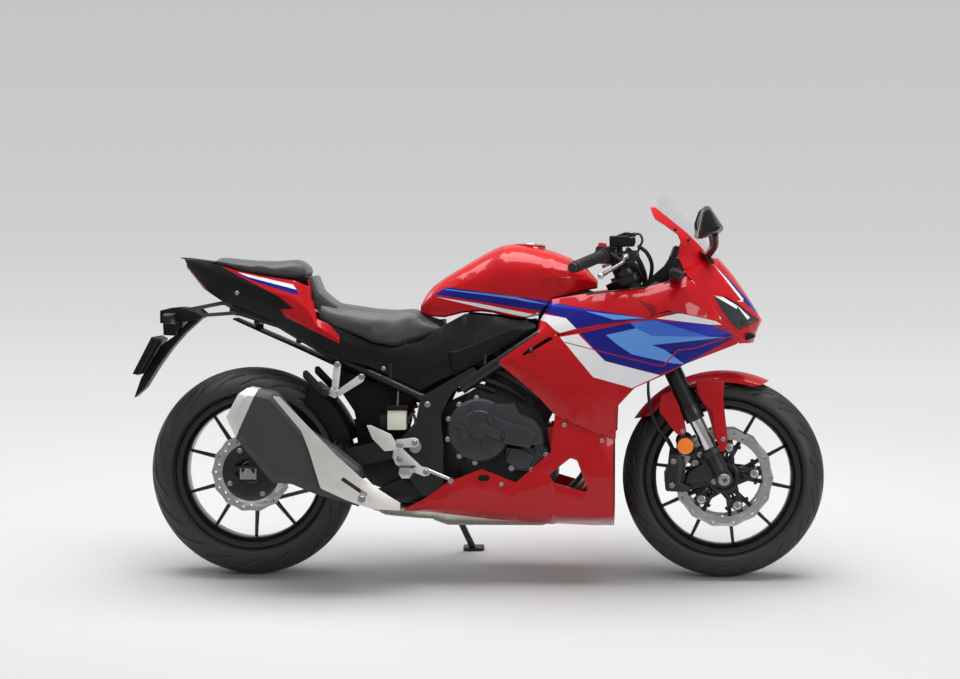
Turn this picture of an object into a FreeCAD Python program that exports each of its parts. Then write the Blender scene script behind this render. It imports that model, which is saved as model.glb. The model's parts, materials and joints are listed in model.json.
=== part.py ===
"""A full-fairing sport motorcycle leaning on its side stand, as an assembly of its real pieces.

Every piece is drawn upright in the bike's own frame, in millimetres: X forward, Y to the rider's
left, Z up, with the origin on the ground halfway between the axles. The finished bike then leans
to its left until the stand's foot meets the ground, and moves so that the origin is under the
middle of it. Half-widths are measured from the centre plane.
"""
import FreeCAD
import Part
import json
import math
import os

V = FreeCAD.Vector

# Chassis
WHEELBASE = 1410.0
CASTER = 25.5
TRAIL = 102.0
LEAN = 10.0
STEERING_LOCK = 30.0
SWINGARM_PIVOT = (-205.0, 395.0)

# Tyres and rims
FRONT_TYRE_RADIUS = 299.9
FRONT_TYRE_WIDTH = 120.0
REAR_TYRE_RADIUS = 311.9
REAR_TYRE_WIDTH = 160.0
BEAD_RADIUS = 215.9
FLANGE_HEIGHT = 15.0
FLANGE_THICKNESS = 6.0
FRONT_RIM_WIDTH = 89.0
REAR_RIM_WIDTH = 114.0
RIM_BAND = 12.0
SPOKE_PAIRS = 5
SPOKE_FLARE = 18.0
SPOKE_ROOT = 5.0
SPOKE_DEPTH = 26.0

# Axles, hubs and brakes
FRONT_AXLE_RADIUS = 12.0
FRONT_AXLE_BORE = 7.0
AXLE_REACH = 33.0
REAR_AXLE_RADIUS = 10.0
AXLE_CLEARANCE = 0.3
FRONT_HUB_RADIUS = 36.0
REAR_HUB_RADIUS = 48.0
FRONT_HUB_HALF = 52.0
REAR_HUB_HALF = 66.0
FRONT_DISC_RADIUS = 148.0
REAR_DISC_RADIUS = 120.0
DISC_BAND = 32.0
DISC_THICKNESS = 4.5
DISC_WAVES = 14
DISC_WAVE_DEPTH = 5.0
FRONT_DISC_Y = 66.0
REAR_DISC_Y = 78.0
PAD_GAP = 1.0
SEAT_GAP = 0.3

# Chain drive
CHAIN_PITCH = 15.875
REAR_TEETH = 41
FRONT_TEETH = 15
CHAIN_Y = 98.0
SPROCKET_THICKNESS = 6.0
CHAIN_GAP = 9.0
CHAIN_PLATE = 2.4
CHAIN_HEIGHT = 15.0
COUNTERSHAFT = (-118.0, 392.0)

# Fork
LEG_SPACING = 206.0
OUTER_TUBE_RADIUS = 26.0
STANCHION_RADIUS = 20.5
OUTER_TUBE_END = 215.0
AXLE_LUG_TOP = 100.0
STEM_RADIUS = 14.0
STEM_BORE = 8.0
TOP_CLAMP = 640.0
LEG_TOP = TOP_CLAMP + 60.0
LOWER_CLAMP = 455.0
CLAMP_THICKNESS = 26.0
GRIP_RADIUS = 16.5
BAR_RADIUS = 11.0
FENDER_GAP = 14.0
FENDER_WALL = 3.0

# Frame
MAIN_TUBE_RADIUS = 19.0
RAIL_RADIUS = 12.0
PLATE_THICKNESS = 26.0
PLATE_Y = 128.0
PANEL_WALL = 4.0
SCREEN_WALL = 3.0

HEAD_RADIUS = 33.0
PIVOT_BOLT = 10.0
AXLE_SLOT = 10.4
ARM_OUTER = 132.0
SHOCK_FOOT = (-286.0, 424.0)
SHOCK_HEAD = (-196.0, 592.0)
SHOCK_EYE = 20.0
SHOCK_BOLT = 6.0
SPRING_TURNS = 6

# Engine and exhaust
ENGINE_HALF = 118.0
CHAIN_SIDE_ROOM = 14.0
CLUTCH_CENTRE = (-15.0, 445.0)
CLUTCH_RADIUS = 95.0
SILENCER_Y = -216.0
SILENCER_HALF = 58.0
SILENCER_DRAFT = 20.0

# Lamps and plate
LAMP_INNER = 30.0
LAMP_GAP = 0.3
PLATE_HOLES = 100.0
PLATE_HOLE_RADIUS = 3.0

# Stand
STAND_BOLT = 6.0
TONGUE_THICKNESS = 9.0
STAND_PIVOT = (-130.0, 146.0, 222.0)
STAND_FOOT = (-62.0, 268.0)
STAND_RADIUS = 10.0
STAND_FOLD = 96.0
FOOT_THICKNESS = 8.0

REAR_AXLE = (-WHEELBASE / 2, REAR_TYRE_RADIUS)
FRONT_AXLE = (WHEELBASE / 2, FRONT_TYRE_RADIUS)
RAKE_SIN = math.sin(math.radians(CASTER))
RAKE_COS = math.cos(math.radians(CASTER))
FORK_OFFSET = FRONT_TYRE_RADIUS * RAKE_SIN - TRAIL * RAKE_COS


# Shape helpers
def rounded(points, corner):
    """A closed wire through 2-D points (a, b, radius), with each corner turned by an arc of its radius."""
    count = len(points)
    edges = []
    starts = []
    ends = []
    arcs = []
    for i in range(count):
        a = corner(*points[i - 1][:2])
        b = corner(*points[i][:2])
        c = corner(*points[(i + 1) % count][:2])
        radius = points[i][2] if len(points[i]) > 2 else 0.0
        into = (b - a).normalize()
        out = (c - b).normalize()
        turn = into.getAngle(out)
        if radius <= 0 or turn < 0.02:
            starts.append(b)
            ends.append(b)
            arcs.append(None)
            continue
        reach = radius * math.tan(turn / 2)
        first = b - into * reach
        last = b + out * reach
        middle_way = (out - into).normalize()
        middle = b + middle_way * (radius / math.cos(turn / 2) - radius)
        starts.append(first)
        ends.append(last)
        arcs.append(Part.Arc(first, middle, last).toShape())
    for i in range(count):
        previous_end = ends[i - 1]
        if previous_end.distanceToPoint(starts[i]) > 1e-6:
            edges.append(Part.LineSegment(previous_end, starts[i]).toShape())
        if arcs[i] is not None:
            edges.append(arcs[i])
    return Part.Wire(Part.__sortEdges__(edges))


def offset_by(origin, points):
    """Side-view points given from an origin (x, z), moved to the bike's frame."""
    return [(origin[0] + p[0], origin[1] + p[1], *p[2:]) for p in points]


def side_plate(points, inner, outer, cut_points=()):
    """A plate whose outline is drawn in side view as (x, z, radius), from half-width inner to outer on the left."""
    face = Part.Face(rounded(points, lambda x, z: V(x, inner, z)))
    for hole in cut_points:
        face = face.cut(Part.Face(rounded(hole, lambda x, z: V(x, inner, z))))
    return face.extrude(V(0, outer - inner, 0))


def across(x, z, radius, y_from, y_to):
    """A round bar along Y."""
    return Part.makeCylinder(radius, y_to - y_from, V(x, y_from, z), V(0, 1, 0))


def bar(start, end, radius):
    """A round bar between two points."""
    start = V(*start)
    end = V(*end)
    return Part.makeCylinder(radius, start.distanceToPoint(end), start, end - start)


def bent_tube(points, radius, bend, bore=0.0):
    """A round tube through points, with its corners turned by tangent arcs of radius bend."""
    points = [V(*p) for p in points]
    edges = []
    here = points[0]
    for i in range(1, len(points) - 1):
        into = (points[i] - points[i - 1]).normalize()
        out = (points[i + 1] - points[i]).normalize()
        turn = into.getAngle(out)
        room = min(points[i].distanceToPoint(points[i - 1]), points[i].distanceToPoint(points[i + 1]))
        reach = min(bend * math.tan(turn / 2), room * 0.48)
        arc_radius = reach / math.tan(turn / 2)
        first = points[i] - into * reach
        last = points[i] + out * reach
        middle = points[i] + (out - into).normalize() * (arc_radius / math.cos(turn / 2) - arc_radius)
        edges.append(Part.LineSegment(here, first).toShape())
        edges.append(Part.Arc(first, middle, last).toShape())
        here = last
    edges.append(Part.LineSegment(here, points[-1]).toShape())
    path = Part.Wire(edges)
    way = (points[1] - points[0]).normalize()
    outer = path.makePipeShell([Part.Wire(Part.makeCircle(radius, points[0], way))], True, True)
    if bore <= 0:
        return outer
    return outer.cut(path.makePipeShell([Part.Wire(Part.makeCircle(bore, points[0], way))], True, True))


def turned(profile, x, z):
    """A solid turned about the Y axis line through (x, z) from a profile of (radius, y) points."""
    wire = Part.makePolygon([V(x + r, y, z) for r, y in profile + profile[:1]])
    return Part.Face(wire).revolve(V(x, 0, z), V(0, 1, 0), 360)


def polygon(points):
    return Part.makePolygon([V(*p) for p in list(points) + [points[0]]])


def loft(sections, ruled=True):
    return Part.makeLoft([polygon(s) for s in sections], True, ruled)


def mirrored(shape):
    return shape.mirror(V(0, 0, 0), V(0, 1, 0))


def both(shape):
    return Part.makeCompound([shape, mirrored(shape)])


def fused(*shapes):
    whole = shapes[0].multiFuse(list(shapes[1:])) if len(shapes) > 1 else shapes[0]
    return whole.removeSplitter()


def trimmed(shape, *others):
    """The shape less what other pieces already fill."""
    for other in others:
        if shape.BoundBox.intersect(other.BoundBox):
            shape = shape.cut(other)
    return shape


def largest(shape, count=1):
    """The largest solids of a shape, without the tips that a trim has cut off."""
    solids = sorted(shape.Solids, key=lambda solid: -solid.Volume)
    return solids[0] if count == 1 else Part.makeCompound(solids[:count])


def inward(points, wall):
    """The points (w, z) of an open section, moved inwards by one wall."""
    moved = []
    for i, (w, z) in enumerate(points):
        before = points[max(i - 1, 0)]
        after = points[min(i + 1, len(points) - 1)]
        dw = after[0] - before[0]
        dz = after[1] - before[1]
        length = math.hypot(dw, dz)
        moved.append((w + wall * dz / length, z - wall * dw / length))
    return moved


def side_skin(stations, wall=PANEL_WALL):
    """A thin left panel lofted along X. Each station is (x, [(half-width, z), ...]) from top to bottom."""
    sections = []
    for x, points in stations:
        inner = inward(points, wall)
        sections.append([(x, w, z) for w, z in points] + [(x, w, z) for w, z in reversed(inner)])
    return loft(sections)


def level_skin(levels, wall):
    """A thin shell round the nose, lofted up Z. Each level is (z, [(x, half-width), ...]) from the rear edge to the centre."""
    sections = []
    for z, points in levels:
        inner = [(x - wall * 1.2, max(w - wall, 0.0)) for x, w in points]
        inner[0] = (points[0][0], points[0][1] - wall)
        outer_all = points + [(x, -w) for x, w in reversed(points[:-1])]
        inner_all = inner + [(x, -w) for x, w in reversed(inner[:-1])]
        sections.append([(x, y, z) for x, y in outer_all] + [(x, y, z) for x, y in reversed(inner_all)])
    return loft(sections)


# Wheels
def tyre(axle, radius, width, rim_width):
    """A radial tyre: a round crown, sidewalls drawn in to the bead, and its seat on the rim."""
    crown = width / 2 + 2.0
    bead_y = rim_width / 2 - FLANGE_THICKNESS
    lip = BEAD_RADIUS + FLANGE_HEIGHT + 0.5
    profile = []
    for degrees in (0, 24, 48, 72):
        a = math.radians(degrees)
        profile.append((radius - crown + crown * math.cos(a), crown * math.sin(a)))
    side_r, side_y = profile[-1]
    profile += [((side_r + lip) / 2 + 3, side_y - 3), (lip, bead_y), (BEAD_RADIUS, bead_y)]
    profile += [(r, -y) for r, y in reversed(profile[1:])]
    return turned(profile, *axle)


def spoke(axle, angle, root_angle, hub_radius, rim_radius):
    """One straight cast spoke, tapered from the hub to the rim and swept back from the centre plane."""
    x, z = axle
    root = (hub_radius - 4, math.radians(angle + root_angle))
    tip = (rim_radius + 2, math.radians(angle + SPOKE_FLARE * math.copysign(1, root_angle)))
    sections = []
    for (r, a), half, depth in ((root, 8.0, SPOKE_DEPTH), (tip, 4.5, SPOKE_DEPTH * 0.7)):
        cx = x + r * math.cos(a)
        cz = z + r * math.sin(a)
        way = V(math.cos(a), 0, math.sin(a))
        side = V(-way.z, 0, way.x)
        section = []
        for s, y in ((-half, -depth * 0.3), (-half * 0.5, -depth / 2), (half * 0.5, -depth / 2), (half, -depth * 0.3),
                     (half, depth * 0.3), (half * 0.5, depth / 2), (-half * 0.5, depth / 2), (-half, depth * 0.3)):
            section.append((cx + side.x * s, y, cz + side.z * s))
        sections.append(section)
    return loft(sections)


def rim(axle, rim_width, hub_radius, hub_half, bore, phase, boss_circle, boss_y):
    """A cast wheel: barrel with two flanges, paired spokes, hub, and the bosses that carry its discs."""
    half = rim_width / 2
    top = BEAD_RADIUS + FLANGE_HEIGHT
    inner = BEAD_RADIUS - RIM_BAND
    barrel = turned([
        (BEAD_RADIUS, -half + FLANGE_THICKNESS), (BEAD_RADIUS, half - FLANGE_THICKNESS),
        (top - 1, half - FLANGE_THICKNESS), (top, half - 3), (top - 1.5, half),
        (BEAD_RADIUS - 2, half - 1.5), (inner, half - 16), (inner - 4, half - 30),
        (inner - 4, -half + 30), (inner, -half + 16), (BEAD_RADIUS - 2, -half + 1.5),
        (top - 1.5, -half), (top, -half + 3), (top - 1, -half + FLANGE_THICKNESS),
    ], *axle)
    x, z = axle
    hub = turned([
        (bore, -hub_half), (hub_radius - 10, -hub_half), (hub_radius, -hub_half + 8), (hub_radius, -20),
        (hub_radius + 6, 0), (hub_radius, 20), (hub_radius, hub_half - 8), (hub_radius - 10, hub_half),
        (bore, hub_half),
    ], *axle)
    pieces = [barrel, hub]
    for k in range(SPOKE_PAIRS):
        angle = phase + k * 360.0 / SPOKE_PAIRS
        for root_angle in (-SPOKE_ROOT, SPOKE_ROOT):
            pieces.append(spoke(axle, angle, root_angle, hub_radius, inner))
        if boss_circle:
            a = math.radians(angle)
            bx = x + boss_circle * math.cos(a)
            bz = z + boss_circle * math.sin(a)
            pieces.append(across(bx, bz, 13.0, -boss_y, boss_y))
            web = Part.makeBox(boss_circle - hub_radius + 8, 16, 9, V(hub_radius - 8, -8, -4.5))
            web.rotate(V(0, 0, 0), V(0, 1, 0), -angle)
            web.translate(V(x, 0, z))
            pieces.append(web)
            tie = Part.makeBox(10, 16, 76, V(boss_circle - 5, -8, -38))
            tie.rotate(V(0, 0, 0), V(0, 1, 0), -angle)
            tie.translate(V(x, 0, z))
            pieces.append(tie)
    return fused(*pieces)


def wave_disc(axle, radius, y_centre, phase, carrier_circle, centre_bore=0.0):
    """A brake disc with a scalloped edge, on an arm to each boss, or on a full centre plate round a bore."""
    x, z = axle
    steps = DISC_WAVES * 2
    points = []
    for k in range(steps):
        r = radius - (DISC_WAVE_DEPTH if k % 2 else 0.0)
        a = 2 * math.pi * k / steps
        points.append((x + r * math.cos(a), z + r * math.sin(a), 14.0))
    low = y_centre - DISC_THICKNESS / 2
    high = y_centre + DISC_THICKNESS / 2
    blade = side_plate(points, low, high).cut(across(x, z, radius - DISC_BAND, low - 1, high + 1))
    for k in range(DISC_WAVES):
        for r, shift in ((radius - 13.0, 0.0), (radius - 21.0, 0.5)):
            a = 2 * math.pi * (k + shift) / DISC_WAVES
            blade = blade.cut(across(x + r * math.cos(a), z + r * math.sin(a), 3.0, low - 1, high + 1))
    arms = []
    for k in range(SPOKE_PAIRS):
        angle = phase + k * 360.0 / SPOKE_PAIRS
        arm = Part.makeBox(radius - DISC_BAND - carrier_circle + 16, DISC_THICKNESS, 18.0,
                           V(carrier_circle - 12, low, -9))
        arm.rotate(V(0, 0, 0), V(0, 1, 0), -angle)
        arm.translate(V(x, 0, z))
        arms.append(arm)
    if centre_bore > 0:
        centre = across(x, z, radius - DISC_BAND, low, high)
        return fused(blade, centre.cut(across(x, z, centre_bore, low - 1, high + 1)))
    return fused(blade, *arms)


def sprocket(centre, teeth, y_centre, hub_radius, thickness):
    """A chain sprocket: teeth that stand between the chain's plates, and lightening holes."""
    x, z = centre
    pitch_radius = CHAIN_PITCH / (2 * math.sin(math.pi / teeth))
    tip = pitch_radius + 4.0
    root = pitch_radius - 5.0
    points = []
    for k in range(teeth):
        for share, r in ((-0.30, root), (-0.12, tip), (0.12, tip), (0.30, root)):
            a = 2 * math.pi * (k + share) / teeth
            points.append((x + r * math.cos(a), z + r * math.sin(a)))
    low = y_centre - thickness / 2
    high = y_centre + thickness / 2
    body = side_plate(points, low, high).cut(across(x, z, hub_radius, low - 1, high + 1))
    if pitch_radius > 80:
        for k in range(SPOKE_PAIRS):
            a = 2 * math.pi * (k + 0.5) / SPOKE_PAIRS
            r = pitch_radius - 24
            body = body.cut(across(x + r * math.cos(a), z + r * math.sin(a), 13.0, low - 1, high + 1))
    return body


def chain_loop():
    """The drive chain as one fixed loop: two rows of scalloped plates, tied by pins on the straight runs."""
    front = V(COUNTERSHAFT[0], 0, COUNTERSHAFT[1])
    rear = V(REAR_AXLE[0], 0, REAR_AXLE[1])
    rear_r = CHAIN_PITCH / (2 * math.sin(math.pi / REAR_TEETH))
    front_r = CHAIN_PITCH / (2 * math.sin(math.pi / FRONT_TEETH))
    line = front - rear
    span = line.Length
    base = math.atan2(line.z, line.x)
    lift = math.asin((rear_r - front_r) / span)

    def on(centre, r, a):
        return V(centre.x + r * math.cos(a), 0, centre.z + r * math.sin(a))

    def loop_wire(offset, y):
        up = base + math.pi / 2 - lift
        down = base - math.pi / 2 + lift
        a = on(rear, rear_r + offset, up)
        b = on(front, front_r + offset, up)
        c = on(front, front_r + offset, base)
        d = on(front, front_r + offset, down)
        e = on(rear, rear_r + offset, down)
        f = on(rear, rear_r + offset, base + math.pi)
        edges = [
            Part.LineSegment(a, b).toShape(), Part.Arc(b, c, d).toShape(),
            Part.LineSegment(d, e).toShape(), Part.Arc(e, f, a).toShape(),
        ]
        wire = Part.Wire(edges)
        wire.translate(V(0, y, 0))
        return wire

    rows = []
    for side in (-1, 1):
        inner = CHAIN_Y + side * CHAIN_GAP / 2
        outer = CHAIN_Y + side * (CHAIN_GAP / 2 + CHAIN_PLATE)
        low, high = min(inner, outer), max(inner, outer)
        ring = Part.Face(loop_wire(CHAIN_HEIGHT / 2, low)).cut(Part.Face(loop_wire(-CHAIN_HEIGHT / 2, low)))
        rows.append(ring.extrude(V(0, high - low, 0)))
    pins = []
    reach = CHAIN_GAP / 2 + CHAIN_PLATE
    run = math.sqrt(span ** 2 - (rear_r - front_r) ** 2)
    count = int((run - 5.5 * CHAIN_PITCH) / (2 * CHAIN_PITCH)) + 1
    for sign in (1, -1):
        a = base + sign * (math.pi / 2 - lift)
        start = on(rear, rear_r, a)
        end = on(front, front_r, a)
        way = (end - start).normalize()
        for k in range(count):
            p = start + way * (CHAIN_PITCH * (3.5 + 2 * k))
            corners = [(p.x + 4.5 * math.cos(math.pi * n / 3), p.z + 4.5 * math.sin(math.pi * n / 3)) for n in range(6)]
            pins.append(side_plate(corners, CHAIN_Y - reach, CHAIN_Y + reach))
    return fused(*(rows + pins))


# Fork, in its own frame: s runs up the legs from the axle, f runs forward from the legs
def fork_point(s, f=0.0):
    x = FRONT_AXLE[0] - s * RAKE_SIN + f * RAKE_COS
    z = FRONT_AXLE[1] + s * RAKE_COS + f * RAKE_SIN
    return x, z


def along_leg(s_low, s_high, radius, y, f=0.0):
    x0, z0 = fork_point(s_low, f)
    x1, z1 = fork_point(s_high, f)
    return bar((x0, y, z0), (x1, y, z1), radius)


def fork_legs():
    """Two upside-down legs: black outer tube, bright stanchion, and the cast lug that holds the axle."""
    y = LEG_SPACING / 2
    outer = fused(
        along_leg(OUTER_TUBE_END, LEG_TOP, OUTER_TUBE_RADIUS, y),
        along_leg(OUTER_TUBE_END - 22, OUTER_TUBE_END + 26, OUTER_TUBE_RADIUS + 3, y),
    ).cut(along_leg(OUTER_TUBE_END - 30, OUTER_TUBE_END + 180, STANCHION_RADIUS + 0.0, y))
    stanchion = along_leg(AXLE_LUG_TOP, OUTER_TUBE_END + 180, STANCHION_RADIUS, y)
    cap = along_leg(LEG_TOP, LEG_TOP + 10, OUTER_TUBE_RADIUS - 6, y)
    x, z = FRONT_AXLE
    lug = fused(
        along_leg(0, AXLE_LUG_TOP, STANCHION_RADIUS + 3, y),
        across(x, z, 26.0, y - 24, y + 27.0),
    )
    bracket = side_plate([
        (x - 12, z + 40), (x - 34, z + 88), (x - 114, z + 92, 6), (x - 118, z + 70, 4), (x - 62, z + 58, 8),
        (x - 66, z + 6, 8), (x - 118, z - 18, 4), (x - 112, z - 38, 6), (x - 14, z - 10), (x - 4, z + 12),
    ], y - 16, y - 4)
    bracket = bracket.cut(along_leg(AXLE_LUG_TOP, OUTER_TUBE_END, STANCHION_RADIUS + SEAT_GAP, y))
    lug = fused(lug, bracket)
    lug = lug.cut(across(x, z, FRONT_AXLE_RADIUS, y - 40, y + 40))
    return both(fused(outer, cap)), both(stanchion), both(lug)


def triple_clamps():
    """The upper and lower clamps and the hollow stem between them."""
    y = LEG_SPACING / 2
    pieces = []
    for s in (LOWER_CLAMP, TOP_CLAMP):
        thickness = CLAMP_THICKNESS if s == TOP_CLAMP else CLAMP_THICKNESS + 8
        outline = [
            (-y - 38, -30, 18), (-y - 38, 32, 18), (-y + 30, 34, 12), (-40, 8, 20), (40, 8, 20), (y - 30, 34, 12),
            (y + 38, 32, 18), (y + 38, -30, 18), (34, -FORK_OFFSET - 34, 20), (-34, -FORK_OFFSET - 34, 20),
        ]

        def place(across_y, forward, s=s):
            x, z = fork_point(s, forward)
            return V(x, across_y, z)

        x0, z0 = fork_point(s)
        x1, z1 = fork_point(s + thickness)
        pieces.append(Part.Face(rounded(outline, place)).extrude(V(x1 - x0, 0, z1 - z0)))
    stem = along_leg(LOWER_CLAMP, TOP_CLAMP + CLAMP_THICKNESS + 10, STEM_RADIUS, 0, -FORK_OFFSET)
    whole = fused(*pieces, stem)
    whole = whole.cut(along_leg(LOWER_CLAMP - 5, TOP_CLAMP + CLAMP_THICKNESS + 20, STEM_BORE, 0, -FORK_OFFSET))
    for side in (-1, 1):
        whole = whole.cut(along_leg(LOWER_CLAMP - 5, LEG_TOP + 20, OUTER_TUBE_RADIUS, side * y))
    return whole


BAR_X, BAR_Z = fork_point(TOP_CLAMP)
GRIP_INNER = (BAR_X - 77.5, 222.0, BAR_Z + 84.5)
GRIP_OUTER = (BAR_X - 157.5, 362.0, BAR_Z + 50.5)


def handlebars():
    """Clip-on bars: a clamp on each leg, the bar, the rubber grip and its end weight."""
    y = LEG_SPACING / 2
    clamp_low = TOP_CLAMP + CLAMP_THICKNESS
    x0, z0 = fork_point(clamp_low + 14)
    clamp = along_leg(clamp_low, LEG_TOP - 0.0, OUTER_TUBE_RADIUS + 9, y).cut(
        along_leg(clamp_low - 5, LEG_TOP + 5, OUTER_TUBE_RADIUS, y))
    inner = V(*GRIP_INNER)
    outer = V(*GRIP_OUTER)
    way = (outer - inner).normalize()
    rise = [(x0 - 22, y + 26, z0 + 4), (inner.x + 22, inner.y - 38, inner.z + 4), tuple(inner + way * 12)]
    neck = trimmed(bent_tube(rise, BAR_RADIUS + 2, 30), along_leg(clamp_low - 40, LEG_TOP + 5, OUTER_TUBE_RADIUS + 2, y))
    grip = bar(inner + way * 12, outer, GRIP_RADIUS)
    flange = bar(inner + way * 12, inner + way * 17, GRIP_RADIUS + 7)
    weight = bar(outer, outer + way * 16, GRIP_RADIUS - 2)
    rubber = fused(grip, flange)
    metal = fused(clamp, trimmed(neck, rubber))
    return both(metal), both(rubber), both(weight)


def controls():
    """Switch boxes, levers and the front brake's master cylinder with its fluid cup."""
    inner = V(*GRIP_INNER)
    way = (V(*GRIP_OUTER) - inner).normalize()
    housing = Part.makeBox(46, 44, 52, V(-24, -34, -26))
    housing = housing.makeFillet(8, housing.Edges)
    angle = math.degrees(math.atan2(way.x, way.y))
    housing.rotate(V(0, 0, 0), V(0, 0, 1), -angle)
    housing.translate(inner + way * 2)
    lever_pivot = inner + V(62, -14, -4)
    knee = inner + V(56, 30, -22)
    tip = V(*GRIP_OUTER) + V(74, -16, -26)
    lever = fused(
        bent_tube([tuple(lever_pivot), tuple(knee), tuple(tip)], 6.0, 60),
        Part.makeSphere(9.0, tip),
        Part.makeCylinder(12, 14, lever_pivot - V(0, 0, 7), V(0, 0, 1)),
    )
    perch = bent_tube([tuple(inner + V(18, -16, 0)), tuple(inner + V(44, -26, 0)), tuple(lever_pivot + V(-2, -13, 0))],
                      9.0, 20)
    perch = trimmed(perch, housing, lever)
    cup = Part.makeBox(60, 40, 32, V(inner.x + 16, inner.y - 52, inner.z + 24))
    cup = cup.makeFillet(5, cup.Edges)
    neck = Part.makeCylinder(9, 40, V(inner.x + 46, inner.y - 34, inner.z - 6), V(0, 0, 1))
    left_box = fused(housing, perch)
    right_box = fused(housing, perch, neck, cup)
    boxes = Part.makeCompound([left_box, mirrored(right_box)])
    return boxes, both(lever)


def front_fender():
    """The front mudguard hugging the tyre, with the guards that shield the legs."""
    x, z = FRONT_AXLE
    inner = FRONT_TYRE_RADIUS + FENDER_GAP
    half = LEG_SPACING / 2 - OUTER_TUBE_RADIUS - 4.0
    crown = half + 4.0
    start, end = 38.0, 154.0

    def arch(extra):
        r = inner + extra
        side = half - FENDER_WALL + extra
        wire = Part.Wire([
            Part.LineSegment(V(x + r - 46, -side, z), V(x + r - 22, -side, z)).toShape(),
            Part.Arc(V(x + r - 22, -side, z), V(x + r, 0, z), V(x + r - 22, side, z)).toShape(),
            Part.LineSegment(V(x + r - 22, side, z), V(x + r - 46, side, z)).toShape(),
            Part.LineSegment(V(x + r - 46, side, z), V(x + r - 46, -side, z)).toShape(),
        ])
        face = Part.Face(wire)
        face.rotate(V(x, 0, z), V(0, 1, 0), -start)
        return face.revolve(V(x, 0, z), V(0, 1, 0), -(end - start))

    shell = arch(FENDER_WALL).cut(arch(0.0))
    inside = across(x, z, inner - 30, -half, half)
    shell = shell.cut(inside)
    outline = [(-275, 170), (-265, 186), (-231, 245), (-185, 300), (-111, 332), (-33, 350), (45, 340), (141, 300),
               (151, 292), (109, 276), (-8, 256), (-65, 256), (-165, 220), (-215, 186)]
    shell = shell.common(side_plate(offset_by(FRONT_AXLE, outline), -half - 20, half + 20))
    front_guard = [(-83, 290), (1, 288), (-3, 238), (8, 146), (10, 115), (3, 86), (-11, 86), (-26, 130), (-34, 200),
                   (-65, 230), (-80, 265)]
    rear_guard = [(-185, 245), (-149, 262), (-134, 223), (-111, 146), (-118, 127), (-141, 134), (-191, 200)]
    guards = []
    disc_room = across(x, z, FRONT_DISC_RADIUS + 6, 0, FRONT_DISC_Y + DISC_THICKNESS / 2 + 6)
    leg_room = along_leg(40, 420, OUTER_TUBE_RADIUS + 3 + SEAT_GAP, LEG_SPACING / 2)
    for outline, shift in ((front_guard, -6.0), (rear_guard, 6.0)):
        outline = offset_by(FRONT_AXLE, outline)
        solid = side_plate(outline, half - FENDER_WALL, half + 42)
        core = side_plate([(px + shift, pz) for px, pz in outline], half - 60, half + 42 - FENDER_WALL)
        core = fused(core, side_plate([(px + 2 * shift, pz) for px, pz in outline], half - 60, half + 42 - FENDER_WALL))
        guards.append(solid.cut(core).cut(leg_room).cut(disc_room))
    ring = along_leg(78, 95, STANCHION_RADIUS + 13, LEG_SPACING / 2)
    ring = ring.cut(along_leg(60, 110, STANCHION_RADIUS + 3 + SEAT_GAP, LEG_SPACING / 2))
    guards[0] = fused(guards[0], ring.cut(disc_room))
    return shell, guards


def front_caliper():
    """A two-piece radial caliper on each side that straddles the disc behind the leg."""
    x, z = FRONT_AXLE
    outline = [(x - 172, z - 38, 10), (x - 176, z + 4, 10), (x - 150, z + 58, 12), (x - 116, z + 62, 10),
               (x - 113, z + 24, 6), (x - 113, z - 40, 8)]
    disc_low = FRONT_DISC_Y - DISC_THICKNESS / 2 - PAD_GAP
    disc_high = FRONT_DISC_Y + DISC_THICKNESS / 2 + PAD_GAP
    body = side_plate(outline, disc_low - 12, LEG_SPACING / 2 - 4)
    slot = across(x, z, FRONT_DISC_RADIUS + 3, disc_low, disc_high)
    body = body.cut(slot)
    return body


# Frame
MAIN_TUBE = [(352.0, 30.0, 806.0), (262.0, 116.0, 776.0), (165.0, 146.0, 728.0), (-70.0, 142.0, 568.0)]
DOWN_TUBE = [(346.0, 26.0, 756.0), (268.0, 116.0, 728.0), (120.0, 124.0, 640.0)]
SUB_TUBE = [(-150.0, 141.0, 528.0), (-196.0, 134.0, 544.0), (-330.0, 114.0, 606.0), (-470.0, 94.0, 668.0),
            (-622.0, 68.0, 756.0)]
SEAT_RAIL = [(-80.0, 118.0, 610.0), (-240.0, 104.0, 650.0), (-480.0, 88.0, 712.0), (-770.0, 46.0, 800.0)]
PIVOT_PLATE = [
    (-190, 542, 14), (-80, 606, 10), (-30, 634, 8), (-22, 612, 8), (-98, 556, 30), (-130, 488, 30), (-122, 400, 20),
    (-122, 246, 12), (-184, 250, 14), (-228, 306, 16), (-250, 362, 16), (-248, 420, 16), (-204, 470, 20),
]


def head_tube():
    """The steering head with the bore that the stem turns in."""
    x0, z0 = fork_point(LOWER_CLAMP + CLAMP_THICKNESS + 9, -FORK_OFFSET)
    x1, z1 = fork_point(TOP_CLAMP - 1, -FORK_OFFSET)
    outer = bar((x0, 0, z0), (x1, 0, z1), HEAD_RADIUS)
    return outer, along_leg(LOWER_CLAMP, TOP_CLAMP + 20, STEM_RADIUS + AXLE_CLEARANCE, 0, -FORK_OFFSET)


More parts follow.
